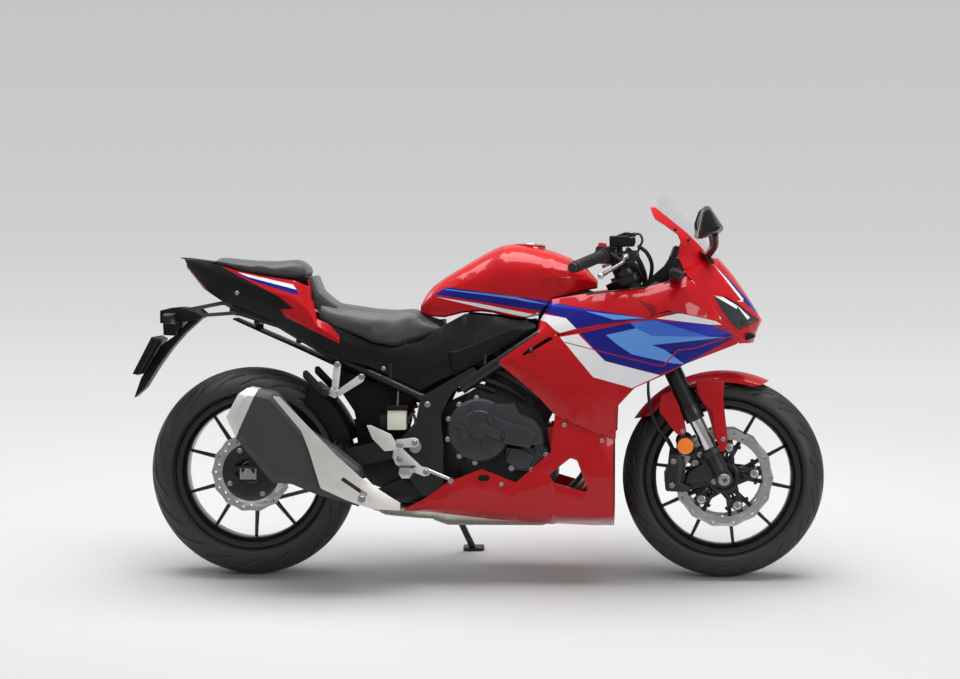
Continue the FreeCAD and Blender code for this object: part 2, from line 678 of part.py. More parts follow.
def frame():
    """Twin steel main tubes from the steering head to the pivot plates, with cross tubes."""
    outer, hole = head_tube()
    plate = side_plate(PIVOT_PLATE, PLATE_Y, PLATE_Y + PLATE_THICKNESS)
    main = bent_tube(MAIN_TUBE, MAIN_TUBE_RADIUS, 90)
    down = bent_tube(DOWN_TUBE, 13.0, 60)
    brace = bar((150.0, 140.0, 716.0), (122.0, 124.0, 642.0), 10.0)
    left = fused(main, down, brace, plate)
    px, pz = SWINGARM_PIVOT
    high = fork_point(TOP_CLAMP - 28, -FORK_OFFSET - 19)
    low = fork_point(LOWER_CLAMP + CLAMP_THICKNESS + 39, -FORK_OFFSET - 19)
    gusset = side_plate([(330, 826, 8), (*high, 4), (*low, 4), (318, 756, 8)], -24, 24)
    cross = [across(-110, 574, 12, -PLATE_Y - 1, PLATE_Y + 1), across(-168, 272, 12, -PLATE_Y - 1, PLATE_Y + 1)]
    hx, hz = SHOCK_HEAD
    ear = side_plate([(hx - 14, hz + 14, 10), (hx + 16, hz + 12, 8), (-104, 588, 4), (-104, 560, 6), (hx + 44, hz - 16, 8),
                      (hx - 12, hz - 10, 8)], SHOCK_EYE + SEAT_GAP, SHOCK_EYE + 10)
    rest = bar((165, 140, 735), (165, 100, 792), 8.0)
    tie = bar((262, 116, 776), (286, 206, 792), 6.0)
    hold = bar((140, 144, 712), (140, 210, 680), 6.0)
    stay = bar((0, 143, 630), (0, 150, 690), 6.0)
    tongue = stand_tongue()
    extras = [ear, mirrored(ear), rest, mirrored(rest), tie, mirrored(tie), hold, mirrored(hold), stay, mirrored(stay)]
    whole = fused(left, mirrored(left), outer, gusset, tongue, *cross, *extras)
    whole = whole.cut(across(hx, hz, SHOCK_BOLT, -40, 40))
    whole = whole.cut(hole)
    return whole.cut(across(px, pz, PIVOT_BOLT, -200, 200))


def subframe(*neighbours):
    """The rear frame under the seats: a lower and an upper rail on each side, with cross tubes."""
    rails = fused(bent_tube(SUB_TUBE, RAIL_RADIUS, 80), bent_tube(SEAT_RAIL, RAIL_RADIUS, 80),
                  bar((-440, 98, 654), (-420, 91, 697), 8.0), bar((-240, 104, 650), (-240, 96, 712), 8.0),
                  bar((-420, 92, 690), (-420, 92, 752), 7.0), bar((-650, 62, 764), (-650, 78, 912), 7.0),
                  bar((-600, 71, 749), (-600, 134, 796), 6.0), bar((-480, 90, 705), (-480, 140, 716), 6.0),
                  bar((-280, 121, 584), (-280, 138, 640), 6.0))
    cross = [bar((-440, -98, 654), (-440, 98, 654), 9.0), bar((-690, -58, 760), (-690, 58, 760), 9.0),
             bar((-560, -80, 706), (-560, 80, 706), 9.0), bar((-240, -104, 650), (-240, 104, 650), 9.0),
             bar((-752, -48, 788), (-752, 48, 788), 9.0)]
    return trimmed(fused(rails, mirrored(rails), *cross), *neighbours)


def swingarm():
    """A box-section swingarm: the pivot tube, the bridge ahead of the tyre, and an arm on each side of it."""
    px, pz = SWINGARM_PIVOT
    ax, az = REAR_AXLE
    arm = loft([
        [(px + 16, 109, pz - 18), (px + 16, 124, pz - 18), (px + 16, 124, pz + 18), (px + 16, 109, pz + 18)],
        [(px - 60, 109, pz - 36), (px - 60, 124, pz - 36), (px - 60, 124, pz + 14), (px - 60, 109, pz + 14)],
        [(px - 110, 111, pz - 46), (px - 110, ARM_OUTER, pz - 46), (px - 110, ARM_OUTER, pz + 14), (px - 110, 111, pz + 14)],
        [(ax + 90, 112, az - 22), (ax + 90, ARM_OUTER, az - 22), (ax + 90, ARM_OUTER, az + 26), (ax + 90, 112, az + 26)],
        [(ax - 52, 112, az - 20), (ax - 52, ARM_OUTER, az - 20), (ax - 52, ARM_OUTER, az + 20), (ax - 52, 112, az + 20)],
    ])
    slot = side_plate([(ax - 40, az - AXLE_SLOT, 9), (ax - 40, az + AXLE_SLOT, 9), (ax + 22, az + AXLE_SLOT, 9),
                       (ax + 22, az - AXLE_SLOT, 9)], 100, 150)
    arm = arm.cut(slot)
    tube = across(px, pz, 19.0, -124, 124)
    bridge = loft([
        [(px - 14, -124, pz - 28), (px - 14, 124, pz - 28), (px - 14, 124, pz + 12), (px - 14, -124, pz + 12)],
        [(px - 96, -122, pz - 42), (px - 96, 122, pz - 42), (px - 96, 122, pz + 10), (px - 96, -122, pz + 10)],
    ])
    sx, sz = SHOCK_FOOT
    lug = side_plate([(sx - 18, pz + 2, 4), (sx - 15, sz + 14, 12), (sx + 15, sz + 14, 12), (sx + 20, pz + 2, 4)],
                     SHOCK_EYE + SEAT_GAP, SHOCK_EYE + 10)
    tyre_room = across(ax, az, REAR_TYRE_RADIUS + 14, -100, 100)
    whole = fused(arm, mirrored(arm), tube, bridge, lug, mirrored(lug)).cut(tyre_room)
    whole = whole.cut(across(SHOCK_FOOT[0], SHOCK_FOOT[1], SHOCK_BOLT, -40, 40))
    return whole.cut(across(px, pz, PIVOT_BOLT, -200, 200))


def pivot_bolt():
    """The swingarm's pivot shaft with its nuts."""
    px, pz = SWINGARM_PIVOT
    outer = PLATE_Y + PLATE_THICKNESS
    head = across(px, pz, PIVOT_BOLT + 8, outer, outer + 10)
    return fused(across(px, pz, PIVOT_BOLT, -outer - 1, outer + 1), head, mirrored(head))


def coil_sections(run, radius, wire):
    """Six-sided sections of a spring's wire, sixteen to a turn, up the Z axis."""
    steps = 16 * SPRING_TURNS
    sections = []
    for k in range(steps + 1):
        a = 2 * math.pi * k / 16
        section = []
        for n in range(6):
            b = math.pi * n / 3
            r = radius + wire * math.cos(b)
            section.append((r * math.cos(a), r * math.sin(a), run * k / steps + wire * math.sin(b)))
        sections.append(section)
    return sections


def shock():
    """The single rear shock: damper body, rod, eyes, and a coil spring."""
    top = V(SHOCK_HEAD[0], 0, SHOCK_HEAD[1])
    low = V(SHOCK_FOOT[0], 0, SHOCK_FOOT[1])
    way = (top - low).normalize()
    span = top.distanceToPoint(low)
    body = fused(
        Part.makeCylinder(9.0, span - 16, low + way * 8, way),
        Part.makeCylinder(19.0, 60, top - way * 76, way),
        Part.makeCylinder(31.0, 7, top - way * 42, way),
        Part.makeCylinder(31.0, 7, low + way * 18, way),
        across(low.x, low.z, 14.0, -SHOCK_EYE, SHOCK_EYE),
        across(top.x, top.z, 14.0, -SHOCK_EYE, SHOCK_EYE),
        across(low.x, low.z, SHOCK_BOLT, -SHOCK_EYE - 12, SHOCK_EYE + 12),
        across(top.x, top.z, SHOCK_BOLT, -SHOCK_EYE - 12, SHOCK_EYE + 12),
    )
    run = span - 42 - 25
    coil = loft(coil_sections(run - 10, 26.0, 4.5))
    turn = FreeCAD.Rotation(V(0, 0, 1), way)
    coil.Placement = FreeCAD.Placement(low + way * (25 + 5), turn)
    return body, coil


# Engine, drawn as one closed mass with the covers that show
CRANKCASE = [
    (-176, 430, 14), (-182, 330, 20), (-130, 262, 20), (-60, 228, 20), (150, 218, 24), (212, 296, 24), (204, 420, 20),
    (150, 506, 20), (-20, 566, 16), (-112, 522, 20),
]
CYLINDERS = [(-24, 545, 6), (176, 452, 6), (282, 640, 14), (250, 690, 18), (120, 742, 18), (84, 720, 18)]


def engine_block():
    """Crankcase, cylinders and head as one block, stepped in where the chain runs past it."""
    case = side_plate(CRANKCASE, -ENGINE_HALF, ENGINE_HALF)
    drive = side_plate([(-240, 200), (-240, 600), (-56, 600), (-56, 200)], CHAIN_Y - CHAIN_SIDE_ROOM, 200)
    case = case.cut(drive)
    case = case.cut(mirrored(drive))
    swing_room = across(SWINGARM_PIVOT[0], SWINGARM_PIVOT[1], 30.0, -200, 200)
    case = case.cut(swing_room)
    cylinders = side_plate(CYLINDERS, -104, 104)
    return fused(case, cylinders)


def cover(points, depth, lip, sign, top_share=0.86):
    """An engine cover standing off the crankcase, drawn in as it rises."""
    wires = []
    cx = sum(p[0] for p in points) / len(points)
    cz = sum(p[1] for p in points) / len(points)
    for y, share in ((ENGINE_HALF, 1.0), (ENGINE_HALF + depth - lip, 1.0), (ENGINE_HALF + depth, top_share)):
        wires.append([(cx + (x - cx) * share, sign * y, cz + (z - cz) * share) for x, z in points])
    return loft(wires)


CLUTCH_BRIDGE = [(2, 492), (28, 523), (90, 526), (105, 497), (151, 477), (172, 446), (177, 405), (151, 400),
                 (59, 410), (43, 446), (14, 452)]


def clutch_cover():
    """The round clutch cover, with the angular cover that steps up over its front edge."""
    x, z = CLUTCH_CENTRE
    dome = turned([
        (0, -ENGINE_HALF), (CLUTCH_RADIUS, -ENGINE_HALF), (CLUTCH_RADIUS, -ENGINE_HALF - 42),
        (CLUTCH_RADIUS - 7, -ENGINE_HALF - 52), (CLUTCH_RADIUS - 30, -ENGINE_HALF - 58), (0, -ENGINE_HALF - 60),
    ], x, z)
    ribs = []
    for k in range(6):
        rib = Part.makeBox(CLUTCH_RADIUS - 40, 8, 6, V(28, -ENGINE_HALF - 64, -3))
        rib.rotate(V(0, 0, 0), V(0, 1, 0), k * 60.0 + 12)
        rib.translate(V(x, 0, z))
        ribs.append(rib)
    boss = across(x, z, 26.0, -ENGINE_HALF - 66, -ENGINE_HALF - 50)
    bridge = cover(CLUTCH_BRIDGE, 66, 10, -1, 0.94)
    return fused(dome, boss, bridge, *ribs)


def engine_covers():
    """The right crank cover ahead of the clutch, and the left alternator and sprocket covers."""
    right = cover([(62, 396), (60, 368), (80, 328), (143, 322), (192, 372), (186, 397)], 50, 10, -1, 0.92)
    left = turned([(0, ENGINE_HALF), (82, ENGINE_HALF), (82, ENGINE_HALF + 34), (72, ENGINE_HALF + 46),
                   (30, ENGINE_HALF + 52), (0, ENGINE_HALF + 52)], 70, 396)
    return right, left


def sprocket_cover():
    """The cover over the front sprocket, outboard of the chain."""
    x, z = COUNTERSHAFT
    plate = side_plate([(x - 8, z + 62, 20), (x + 56, z + 66, 16), (x + 56, z - 60, 16), (x - 4, z - 62, 20)],
                       CHAIN_Y + 14, PLATE_Y - 1)
    wall = side_plate([(x + 56, z + 60, 0), (x + 62, z + 60, 0), (x + 62, z - 54, 0), (x + 56, z - 54, 0)],
                      CHAIN_Y - CHAIN_SIDE_ROOM, PLATE_Y - 1)
    return fused(plate, wall)


def radiator():
    """The cooler core with its side tanks and cowl frame."""
    core = Part.makeBox(26, 236, 236, V(352, -118, 448))
    tanks = [Part.makeBox(34, 24, 246, V(348, y, 443)) for y in (-142, 118)]
    hose = bent_tube([(356, 130, 650), (316, 124, 664), (262, 92, 662)], 13.0, 20)
    whole = fused(core, *tanks, hose)
    return whole


def exhaust_pipes():
    """Two header pipes down the front of the engine to the collector under it, then out to the right."""
    pipes = []
    for y in (-52.0, 52.0):
        path = [(258, y, 632), (316, y, 600), (324, y, 470), (308, y * 0.8, 232), (240, -30 + y * 0.3, 196),
                (150, -30 + y * 0.2, 194)]
        pipes.append(bent_tube(path, 19.0, 60))
    outline = [V(200, -30, 194), V(200, -30, 222), V(168, -30, 236), V(-118, -30, 236), V(-160, -30, 222), V(-160, -30, 194)]
    collector = Part.Face(Part.makePolygon(outline + outline[:1])).revolve(V(0, -30, 194), V(1, 0, 0), 360)
    outlet = bent_tube([(-140, -32, 194), (-222, -48, 200), (-292, -120, 214), (-342, -196, 256), (-392, -216, 298)],
                       25.0, 60)
    return fused(*pipes, collector, outlet)


SILENCER = [(-361, 227, 30), (-487, 262, 40), (-560, 292, 30), (-616, 296, 40), (-724, 426, 30), (-752, 488, 22),
            (-716, 556, 20), (-688, 574, 20), (-612, 560, 30), (-520, 452, 60), (-430, 392, 60), (-360, 337, 30)]


def inset(points, amount):
    """An outline (x, z, radius) moved inwards by amount, for a body drawn in towards its faces."""
    count = len(points)
    area = sum(points[i - 1][0] * points[i][1] - points[i][0] * points[i - 1][1] for i in range(count))
    amount = math.copysign(1, area) * amount
    moved = []
    for i in range(count):
        a, b, c = points[i - 1], points[i], points[(i + 1) % count]
        d1 = V(b[0] - a[0], 0, b[1] - a[1]).normalize()
        d2 = V(c[0] - b[0], 0, c[1] - b[1]).normalize()
        n1 = V(-d1.z, 0, d1.x)
        n2 = V(-d2.z, 0, d2.x)
        mid = (n1 + n2).normalize()
        reach = amount / max(mid.dot(n1), 0.3)
        moved.append((b[0] + mid.x * reach, b[1] + mid.z * reach, b[2] if len(b) > 2 else 0.0))
    return moved


def silencer():
    """The muffler: a flat-sided can drawn in at both faces, with its outlet at the rear."""
    middle = side_plate(SILENCER, SILENCER_Y - SILENCER_HALF + 14, SILENCER_Y + SILENCER_HALF - 14)
    layers = [middle]
    for sign in (-1, 1):
        low = SILENCER_Y + sign * (SILENCER_HALF - 14)
        high = SILENCER_Y + sign * SILENCER_HALF
        wires = []
        for y, amount in ((low, 0.0), (high, SILENCER_DRAFT)):
            pts = inset(SILENCER, amount)
            wires.append([(x, y, z) for x, z, _ in pts])
        layers.append(loft(wires))
    body = fused(*layers)
    return body


SILVER_GUARD = [(-614, 552, 3), (-592, 549, 3), (-430, 382, 60), (-359, 318, 0), (-359, 234, 0), (-400, 249, 20),
                (-472, 282, 12), (-506, 393, 30), (-527, 448, 20)]


def silencer_guard():
    """The bright heat guard standing off the muffler's outer face on posts, turned in over the pipe ahead of it."""
    low = SILENCER_Y - SILENCER_HALF
    plate = side_plate(SILVER_GUARD, low - 8, low - 5)
    front = loft([
        [(-360, low - 8, 235), (-360, low - 5, 235), (-360, low - 5, 318), (-360, low - 8, 318)],
        [(-318, low + 2, 220), (-318, low + 5, 220), (-318, low + 5, 288), (-318, low + 2, 288)],
        [(-243, low + 38, 214), (-243, low + 41, 214), (-243, low + 41, 236), (-243, low + 38, 236)],
    ])
    whole = fused(plate, front)
    slot = side_plate([(-413, 306, 3), (-405, 315, 3), (-334, 266, 3), (-341, 257, 3)], low - 20, low + 30)
    posts = [across(x, z, 7.0, low - 6, low + 0.0) for x, z in ((-420, 275), (-470, 350), (-560, 500))]
    return fused(whole.cut(slot), *posts)


# Bodywork
TANK = [
    (-196, 816, 70, 804, 792), (-180, 846, 84, 815, 788), (-160, 870, 96, 826, 784), (-122, 897, 108, 838, 782),
    (-68, 929, 117, 856, 796), (-14, 961, 123, 872, 800), (24, 981, 128, 886, 796), (48, 990, 142, 896, 790),
    (78, 994, 153, 900, 784), (114, 991, 157, 898, 780), (160, 982, 158, 894, 790), (200, 972, 158, 896, 834),
    (248, 953, 146, 894, 848), (296, 923, 112, 888, 862), (330, 886, 76, 878, 868),
]


def fuel_tank():
    """The tank as a closed solid: a hump over the knee recesses, falling to the steering head."""
    sections = []
    for x, top, half, widest, low in TANK:
        drop = top - widest
        points = [(0, top), (0.36 * half, top - 0.04 * drop), (0.64 * half, top - 0.15 * drop),
                  (0.85 * half, top - 0.38 * drop), (0.96 * half, top - 0.68 * drop), (half, widest),
                  (0.95 * half, low), (0.84 * half, low - 6), (0, low - 6)]
        ring = [(x, w, z) for w, z in points] + [(x, -w, z) for w, z in reversed(points[1:-1])]
        sections.append(ring)
    tank = loft(sections)
    filler = Part.makeCylinder(46, 8, V(128, 0, 984), V(0.06, 0, 1))
    return tank, filler


SEAT = [
    (-500, 836, 112, 796, 778), (-452, 810, 134, 780, 748), (-395, 801, 144, 762, 730), (-338, 793, 146, 748, 708),
    (-278, 789, 140, 742, 696), (-226, 793, 126, 748, 706), (-198, 784, 118, 748, 712), (-178, 770, 114, 750, 716),
    (-116, 752, 104, 744, 732),
]


def seat_shape(stations):
    sections = []
    for x, top, half, widest, low in stations:
        points = [(0, top), (0.5 * half, top - 1), (0.8 * half, top - 5), (0.95 * half, (top + widest) / 2),
                  (half, widest), (0.97 * half, low), (0, low)]
        sections.append([(x, w, z) for w, z in points] + [(x, -w, z) for w, z in reversed(points[1:-1])])
    return loft(sections)


PILLION = [
    (-531, 922, 78, 906, 897), (-548, 940, 96, 918, 893), (-580, 943, 108, 920, 894), (-629, 938, 116, 920, 900),
    (-700, 940, 112, 926, 910), (-744, 944, 104, 932, 918), (-800, 950, 84, 943, 934), (-824, 951, 64, 948, 942),
]

TAIL = [
    (-432, [(131, 741), (137, 712), (133, 684), (126, 653)]),
    (-500, [(122, 772), (138, 752), (134, 722), (122, 687)]),
    (-526, [(112, 868), (136, 800), (134, 750), (120, 702)]),
    (-570, [(110, 886), (134, 836), (132, 780), (112, 724)]),
    (-657, [(112, 898), (126, 858), (122, 822), (106, 776)]),
    (-744, [(104, 915), (112, 888), (106, 852), (92, 810)]),
    (-796, [(86, 930), (94, 908), (88, 872), (74, 826)]),
    (-850, [(64, 944), (72, 924), (66, 898), (54, 860)]),
    (-904, [(42, 953), (46, 943), (42, 934), (36, 924)]),
]


def tail_cowl():
    """The tail's side panels, joined by the deck behind the pillion seat and by the closing panel ahead of it."""
    left = side_skin(TAIL)
    deck = loft([
        [(-828, -70, 938), (-828, 70, 938), (-828, 70, 942), (-828, -70, 942)],
        [(-904, -42, 949), (-904, 42, 949), (-904, 42, 953), (-904, -42, 953)],
        [(-924, -24, 951), (-924, 24, 951), (-924, 24, 954), (-924, -24, 954)],
    ])
    closing = loft([
        [(-504, -119, 780), (-504, 119, 780), (-508, 119, 780), (-508, -119, 780)],
        [(-526, -104, 888), (-526, 104, 888), (-531, 104, 888), (-531, -104, 888)],
    ])
    return fused(left, mirrored(left), deck, closing)


def undertray():
    """The black tray under the tail, over the rear tyre."""
    sections = []
    for x, z, half in ((-330, 580, 80), (-430, 620, 84), (-560, 680, 82), (-680, 732, 74), (-762, 768, 60)):
        sections.append([(x, -half, z), (x, half, z), (x, half - 3, z + 4), (x, -half + 3, z + 4)])
    posts = [bar((-440, y, 627), (-440, y, 654), 7.0) for y in (-50, 50)]
    posts += [bar((-690, y, 737), (-690, y, 760), 7.0) for y in (-40, 40)]
    return fused(loft(sections), *posts)


def tail_lamp():
    lens = loft([
        [(-838, -48, 852), (-838, 48, 852), (-838, 48, 941), (-838, -48, 941)],
        [(-856, -50, 868), (-856, 50, 868), (-856, 52, 944), (-856, -52, 944)],
        [(-896, -36, 920), (-896, 36, 920), (-896, 40, 950), (-896, -40, 950)],
        [(-912, -28, 946), (-912, 28, 946), (-912, 28, 951), (-912, -28, 951)],
    ])
    return lens


def plate_bracket():
    """The arm and board that carry the number plate, with its two fixing holes."""
    arm = side_plate([(-700, 788, 4), (-792, 812, 10), (-856, 800, 10), (-924, 786, 6), (-1018, 783, 4), (-1016, 768, 4),
                      (-990, 754, 6), (-930, 758, 10), (-856, 772, 20), (-760, 778, 20)], -20, 20)
    board = side_plate([(-1012, 770, 2), (-1004, 770, 2), (-1046, 604, 2), (-1060, 534, 2), (-1066, 534, 2),
                        (-1052, 606, 2)], -62, 62)
    flange = side_plate([(-1006, 762, 2), (-902, 762, 4), (-953, 711, 60), (-1002, 642, 60), (-1040, 574, 30),
                         (-1055, 535, 2), (-1062, 535, 2), (-1048, 604, 2)], 40, 44)
    shelf = side_plate([(-1006, 759, 2), (-902, 759, 2), (-902, 765, 2), (-1006, 765, 2)], -44, 44)
    whole = fused(arm, board, flange, mirrored(flange), shelf)
    for y in (-PLATE_HOLES / 2, PLATE_HOLES / 2):
        whole = whole.cut(Part.makeCylinder(PLATE_HOLE_RADIUS, 120, V(-1090, y, 706), V(0.97, 0, -0.24)))
    return whole


def rear_indicators():
    x, z = -941.0, 772.0
    stalk = across(x, z, 6.0, 20.3, 96)
    lens = loft([
        [(x - 14, 92, z - 13), (x + 14, 92, z - 13), (x + 14, 92, z + 13), (x - 14, 92, z + 13)],
        [(x - 18, 110, z - 18), (x + 16, 110, z - 18), (x + 16, 110, z + 16), (x - 18, 110, z + 16)],
        [(x - 16, 158, z - 12), (x + 8, 158, z - 12), (x + 8, 158, z + 10), (x - 16, 158, z + 10)],
    ])
    return both(fused(stalk, lens))


SIDE_COVER = [
    (-431.7, [(131, 741), (137, 712), (133, 684), (126, 653)]),
    (-340, [(124, 700), (130, 682), (130, 656), (124, 629)]),
    (-277, [(128, 686), (134, 664), (134, 632), (128, 600)]),
    (-192, [(122, 706), (134, 665), (140, 610), (134, 560)]),
    (-134, [(114, 748), (132, 700), (147, 644), (140, 592)]),
    (-60, [(118, 788), (132, 735), (154, 672), (146, 622)]),
    (30, [(128, 780), (142, 750), (156, 712), (152, 676)]),
    (126, [(146, 766), (152, 752), (158, 742), (156, 734)]),
    (150, [(152, 756), (155, 752), (157, 748), (157, 744)]),
]

SHOULDER = [
    (160, [(158, 762), (176, 750), (190, 741), (197, 733)]),
    (200, [(164, 832), (178, 806), (192, 765), (201, 726)]),
    (283, [(164, 846), (182, 815), (200, 775), (208, 740)]),
    (379, [(166, 858), (188, 830), (206, 795), (214, 762)]),
    (476, [(168, 868), (190, 842), (206, 810), (214, 782)]),
    (540, [(166, 884), (186, 858), (200, 828), (208, 800)]),
    (592, [(158, 898), (178, 868), (192, 830), (200, 790)]),
    (650, [(152, 852), (166, 826), (176, 800), (184, 777)]),
    (690, [(149, 787), (157, 781), (163, 775), (169, 769)]),
]

MID_COWL = [
    (45, [(188, 652), (189, 649), (188, 646), (186, 641)]),
    (100, [(192, 691), (196, 665), (192, 630), (184, 597)]),
    (160, [(197, 732), (204, 680), (200, 610), (188, 545)]),
    (220, [(202, 725), (210, 660), (204, 575), (188, 480)]),
    (283, [(208, 739), (214, 665), (206, 560), (188, 440)]),
    (379, [(214, 761), (214, 680), (204, 560), (184, 405)]),
    (440, [(214, 773), (212, 700), (202, 590), (188, 450)]),
    (525, [(209, 793), (204, 730), (194, 670), (184, 590)]),
    (592, [(200, 789), (192, 740), (182, 690), (172, 628)]),
    (660, [(182, 774), (172, 745), (162, 710), (152, 658)]),
    (703, [(164, 764), (156, 745), (146, 722), (138, 678)]),
    (745, [(140, 722), (136, 717), (132, 711), (128, 702)]),
]
MID_OUTLINE = [(36, 640), (207, 492), (325, 442), (378, 421), (387, 424), (390, 517), (442, 573), (525, 609),
               (592, 643), (760, 706), (800, 900), (36, 900)]

BELLY = [
    (-238, [(152, 208), (150, 206), (140, 203), (118, 201)]),
    (-172, [(162, 246), (161, 226), (146, 208), (112, 199)]),
    (-110, [(165, 291), (163, 240), (147, 208), (104, 191)]),
    (-8, [(168, 331), (164, 262), (142, 205), (92, 178)]),
    (93, [(172, 292), (170, 250), (144, 196), (84, 168)]),
    (196, [(180, 383), (176, 290), (150, 195), (60, 158)]),
    (208, [(186, 491), (180, 330), (152, 193), (4, 155)]),
    (325, [(185, 441), (181, 310), (152, 190), (4, 150)]),
    (380, [(183, 420), (179, 310), (150, 192), (4, 151)]),
]
BELLY_OPENING = [(254, 366, 8), (274, 358, 8), (308, 262, 8), (204, 292, 8), (192, 316, 8)]


def belly_left():
    """The left belly panel, turned under the engine, with its side opening and a notch for the stand."""
    panel = side_skin(BELLY)
    panel = panel.cut(side_plate(BELLY_OPENING, 120, 260))
    x, y, z = STAND_PIVOT
    notch = side_plate([(x - 130, z + 26, 20), (x + 78, z + 26, 20), (x + 88, z - 80, 10), (x - 130, z - 80, 10)], 92, 260)
    return panel.cut(notch)


NOSE_LEVELS = [
    (700, [(748, 106), (765, 86), (782, 58), (792, 28), (795, 0)]),
    (735, [(728, 130), (752, 108), (780, 75), (800, 36), (806, 0)]),
    (766, [(703, 144), (740, 118), (780, 80), (812, 38), (820, 0)]),
    (800, [(683, 148), (720, 124), (760, 88), (791, 45), (800, 0)]),
    (845, [(653, 151), (690, 128), (730, 95), (762, 48), (772, 0)]),
    (900, [(596, 157), (640, 132), (690, 95), (724, 48), (734, 0)]),
    (960, [(566, 150), (604, 122), (652, 85), (676, 42), (683, 0)]),
    (1000, [(556, 148), (596, 120), (632, 80), (650, 38), (655, 0)]),
    (1050, [(512, 138), (552, 114), (590, 74), (608, 36), (612, 0)]),
    (1100, [(484, 116), (513, 98), (545, 66), (564, 32), (570, 0)]),
    (1155, [(466, 74), (482, 64), (505, 45), (519, 22), (524, 0)]),
]
NOSE_OUTLINE = [(560, 950), (578, 999), (569, 1022), (533, 1048), (498, 1071), (487, 1103), (496, 1106), (524, 1084),
                (596, 1026), (631, 991), (667, 950), (900, 957), (900, 696), (740, 696), (690, 772), (650, 845),
                (592, 899)]
SCREEN_OUTLINE = [(496.5, 1106.5), (524.5, 1084.5), (596.5, 1026.5), (631.5, 991.5), (667.5, 950.5), (900, 957.5),
                  (900, 1200), (526, 1200), (526, 1153), (488, 1108)]
HEADLAMP = [(672, 843), (709, 838), (743, 819), (808, 768), (748, 740), (730, 754), (697, 797)]


def nose_cowl():
    """The nose shell with an opening for each headlamp."""
    shell = level_skin(NOSE_LEVELS, PANEL_WALL).common(side_plate(NOSE_OUTLINE, -220, 220))
    opening = side_plate(HEADLAMP, LAMP_INNER, 220)
    return shell.cut(opening).cut(mirrored(opening))


def headlamps():
    """A lamp unit in each opening: clear cover and the housing behind it."""
    block = level_skin([(z, [(x - 1.5, max(w - 1.0, 0)) for x, w in pts]) for z, pts in NOSE_LEVELS[:6]], 30.0)
    outline = inset(HEADLAMP, LAMP_GAP)
    outline = [(x, z) for x, z, _ in outline]
    unit = block.common(side_plate(outline, LAMP_INNER + LAMP_GAP, 220))
    return both(unit)


def windscreen():
    return level_skin(NOSE_LEVELS[4:], SCREEN_WALL).common(side_plate(SCREEN_OUTLINE, -220, 220))


INNER_COWL = [
    (300, [(168, 846), (160, 841), (156, 828), (155, 800)]),
    (400, [(170, 857), (162, 851), (158, 836), (157, 806)]),
    (476, [(172, 865), (163, 859), (158, 842), (156, 810)]),
    (530, [(170, 877), (152, 879), (138, 886), (128, 898)]),
    (586, [(160, 892), (146, 908), (132, 936), (124, 974)]),
]


def dashboard():
    """The instrument on its bracket behind the screen."""
    face = Part.makeBox(22, 150, 84, V(0, -75, 0))
    face = face.makeFillet(7, face.Edges)
    face.rotate(V(0, 0, 0), V(0, 1, 0), -34)
    face.translate(V(566, 0, 938))
    stay = bar((572, 50, 950), (632, 50, 936), 6.0)
    return fused(face, stay, mirrored(stay))


def fairing_stay():
    """The stay from the steering head, between the clamps, that carries the nose and the instrument."""
    hx, hz = fork_point((LOWER_CLAMP + TOP_CLAMP) / 2)
    spine = bent_tube([(hx - 20, 0, hz + 18), (560, 0, 838), (636, 0, 936)], 11.0, 60)
    cross = bar((636, -128, 936), (636, 128, 936), 9.0)
    lower = bar((590, 0, 872), (722, 0, 850), 7.0)
    lower_cross = bar((716, -112, 850), (716, 112, 850), 7.0)
    return fused(spine, cross, lower, lower_cross)


MIRROR = [(630, 1006), (623, 1058), (640, 1101), (656, 1105), (699, 1039), (689, 1025)]


def mirror_unit():
    """The left mirror: a housing swept along Y and its stem down to the nose."""
    cx, cz = 658.0, 1054.0
    sections = []
    for y, share, back in ((252, 0.45, 6), (268, 0.82, 3), (310, 1.0, 0), (356, 0.9, 0), (378, 0.5, 4)):
        sections.append([(cx + (x - cx) * share + back, y, cz + (z - cz) * share) for x, z in MIRROR])
    head = loft(sections)
    stem = loft([
        [(634, 86, 950), (668, 86, 950), (668, 92, 938), (634, 92, 938)],
        [(656, 150, 966), (680, 150, 966), (680, 156, 954), (656, 156, 954)],
        [(660, 196, 988), (680, 196, 988), (680, 202, 978), (660, 202, 978)],
        [(656, 262, 1042), (676, 262, 1042), (676, 268, 1024), (656, 268, 1024)],
    ])
    return fused(head, stem)


def front_indicators():
    body = loft([
        [(558, 154, 884), (576, 154, 884), (576, 154, 900), (558, 154, 900)],
        [(552, 200, 886), (580, 200, 884), (584, 200, 914), (552, 200, 920)],
        [(540, 232, 890), (571, 232, 882), (590, 232, 910), (549, 232, 928)],
        [(552, 262, 896), (570, 262, 893), (580, 262, 908), (556, 262, 917)],
    ])
    return both(body)


HEEL_PLATE = [(-344, 459, 8), (-277, 436, 14), (-262, 414, 10), (-196, 414, 8), (-164, 330, 8), (-232, 290, 8),
              (-322, 404, 20)]


def rearset():
    """The left rider footrest: its hanger plate, heel guard and peg."""
    outer = PLATE_Y + PLATE_THICKNESS
    plate = side_plate(HEEL_PLATE, outer + 4, outer + 11)
    spacers = [across(x, z, 9.0, outer, outer + 4.5) for x, z in ((-236, 412), (-186, 338))]
    window = side_plate([(-308, 408, 4), (-276, 402, 4), (-236, 352, 6), (-254, 340, 4)], outer - 5, outer + 20)
    plate = plate.cut(window).cut(across(SWINGARM_PIVOT[0], SWINGARM_PIVOT[1], PIVOT_BOLT + 11, outer, outer + 20))
    peg = fused(across(-250, 306, 13.0, outer + 11, outer + 26), across(-252, 300, 11.0, outer + 22, outer + 112),
                across(-252, 300, 13.0, outer + 108, outer + 114))
    return fused(plate, peg, *spacers)


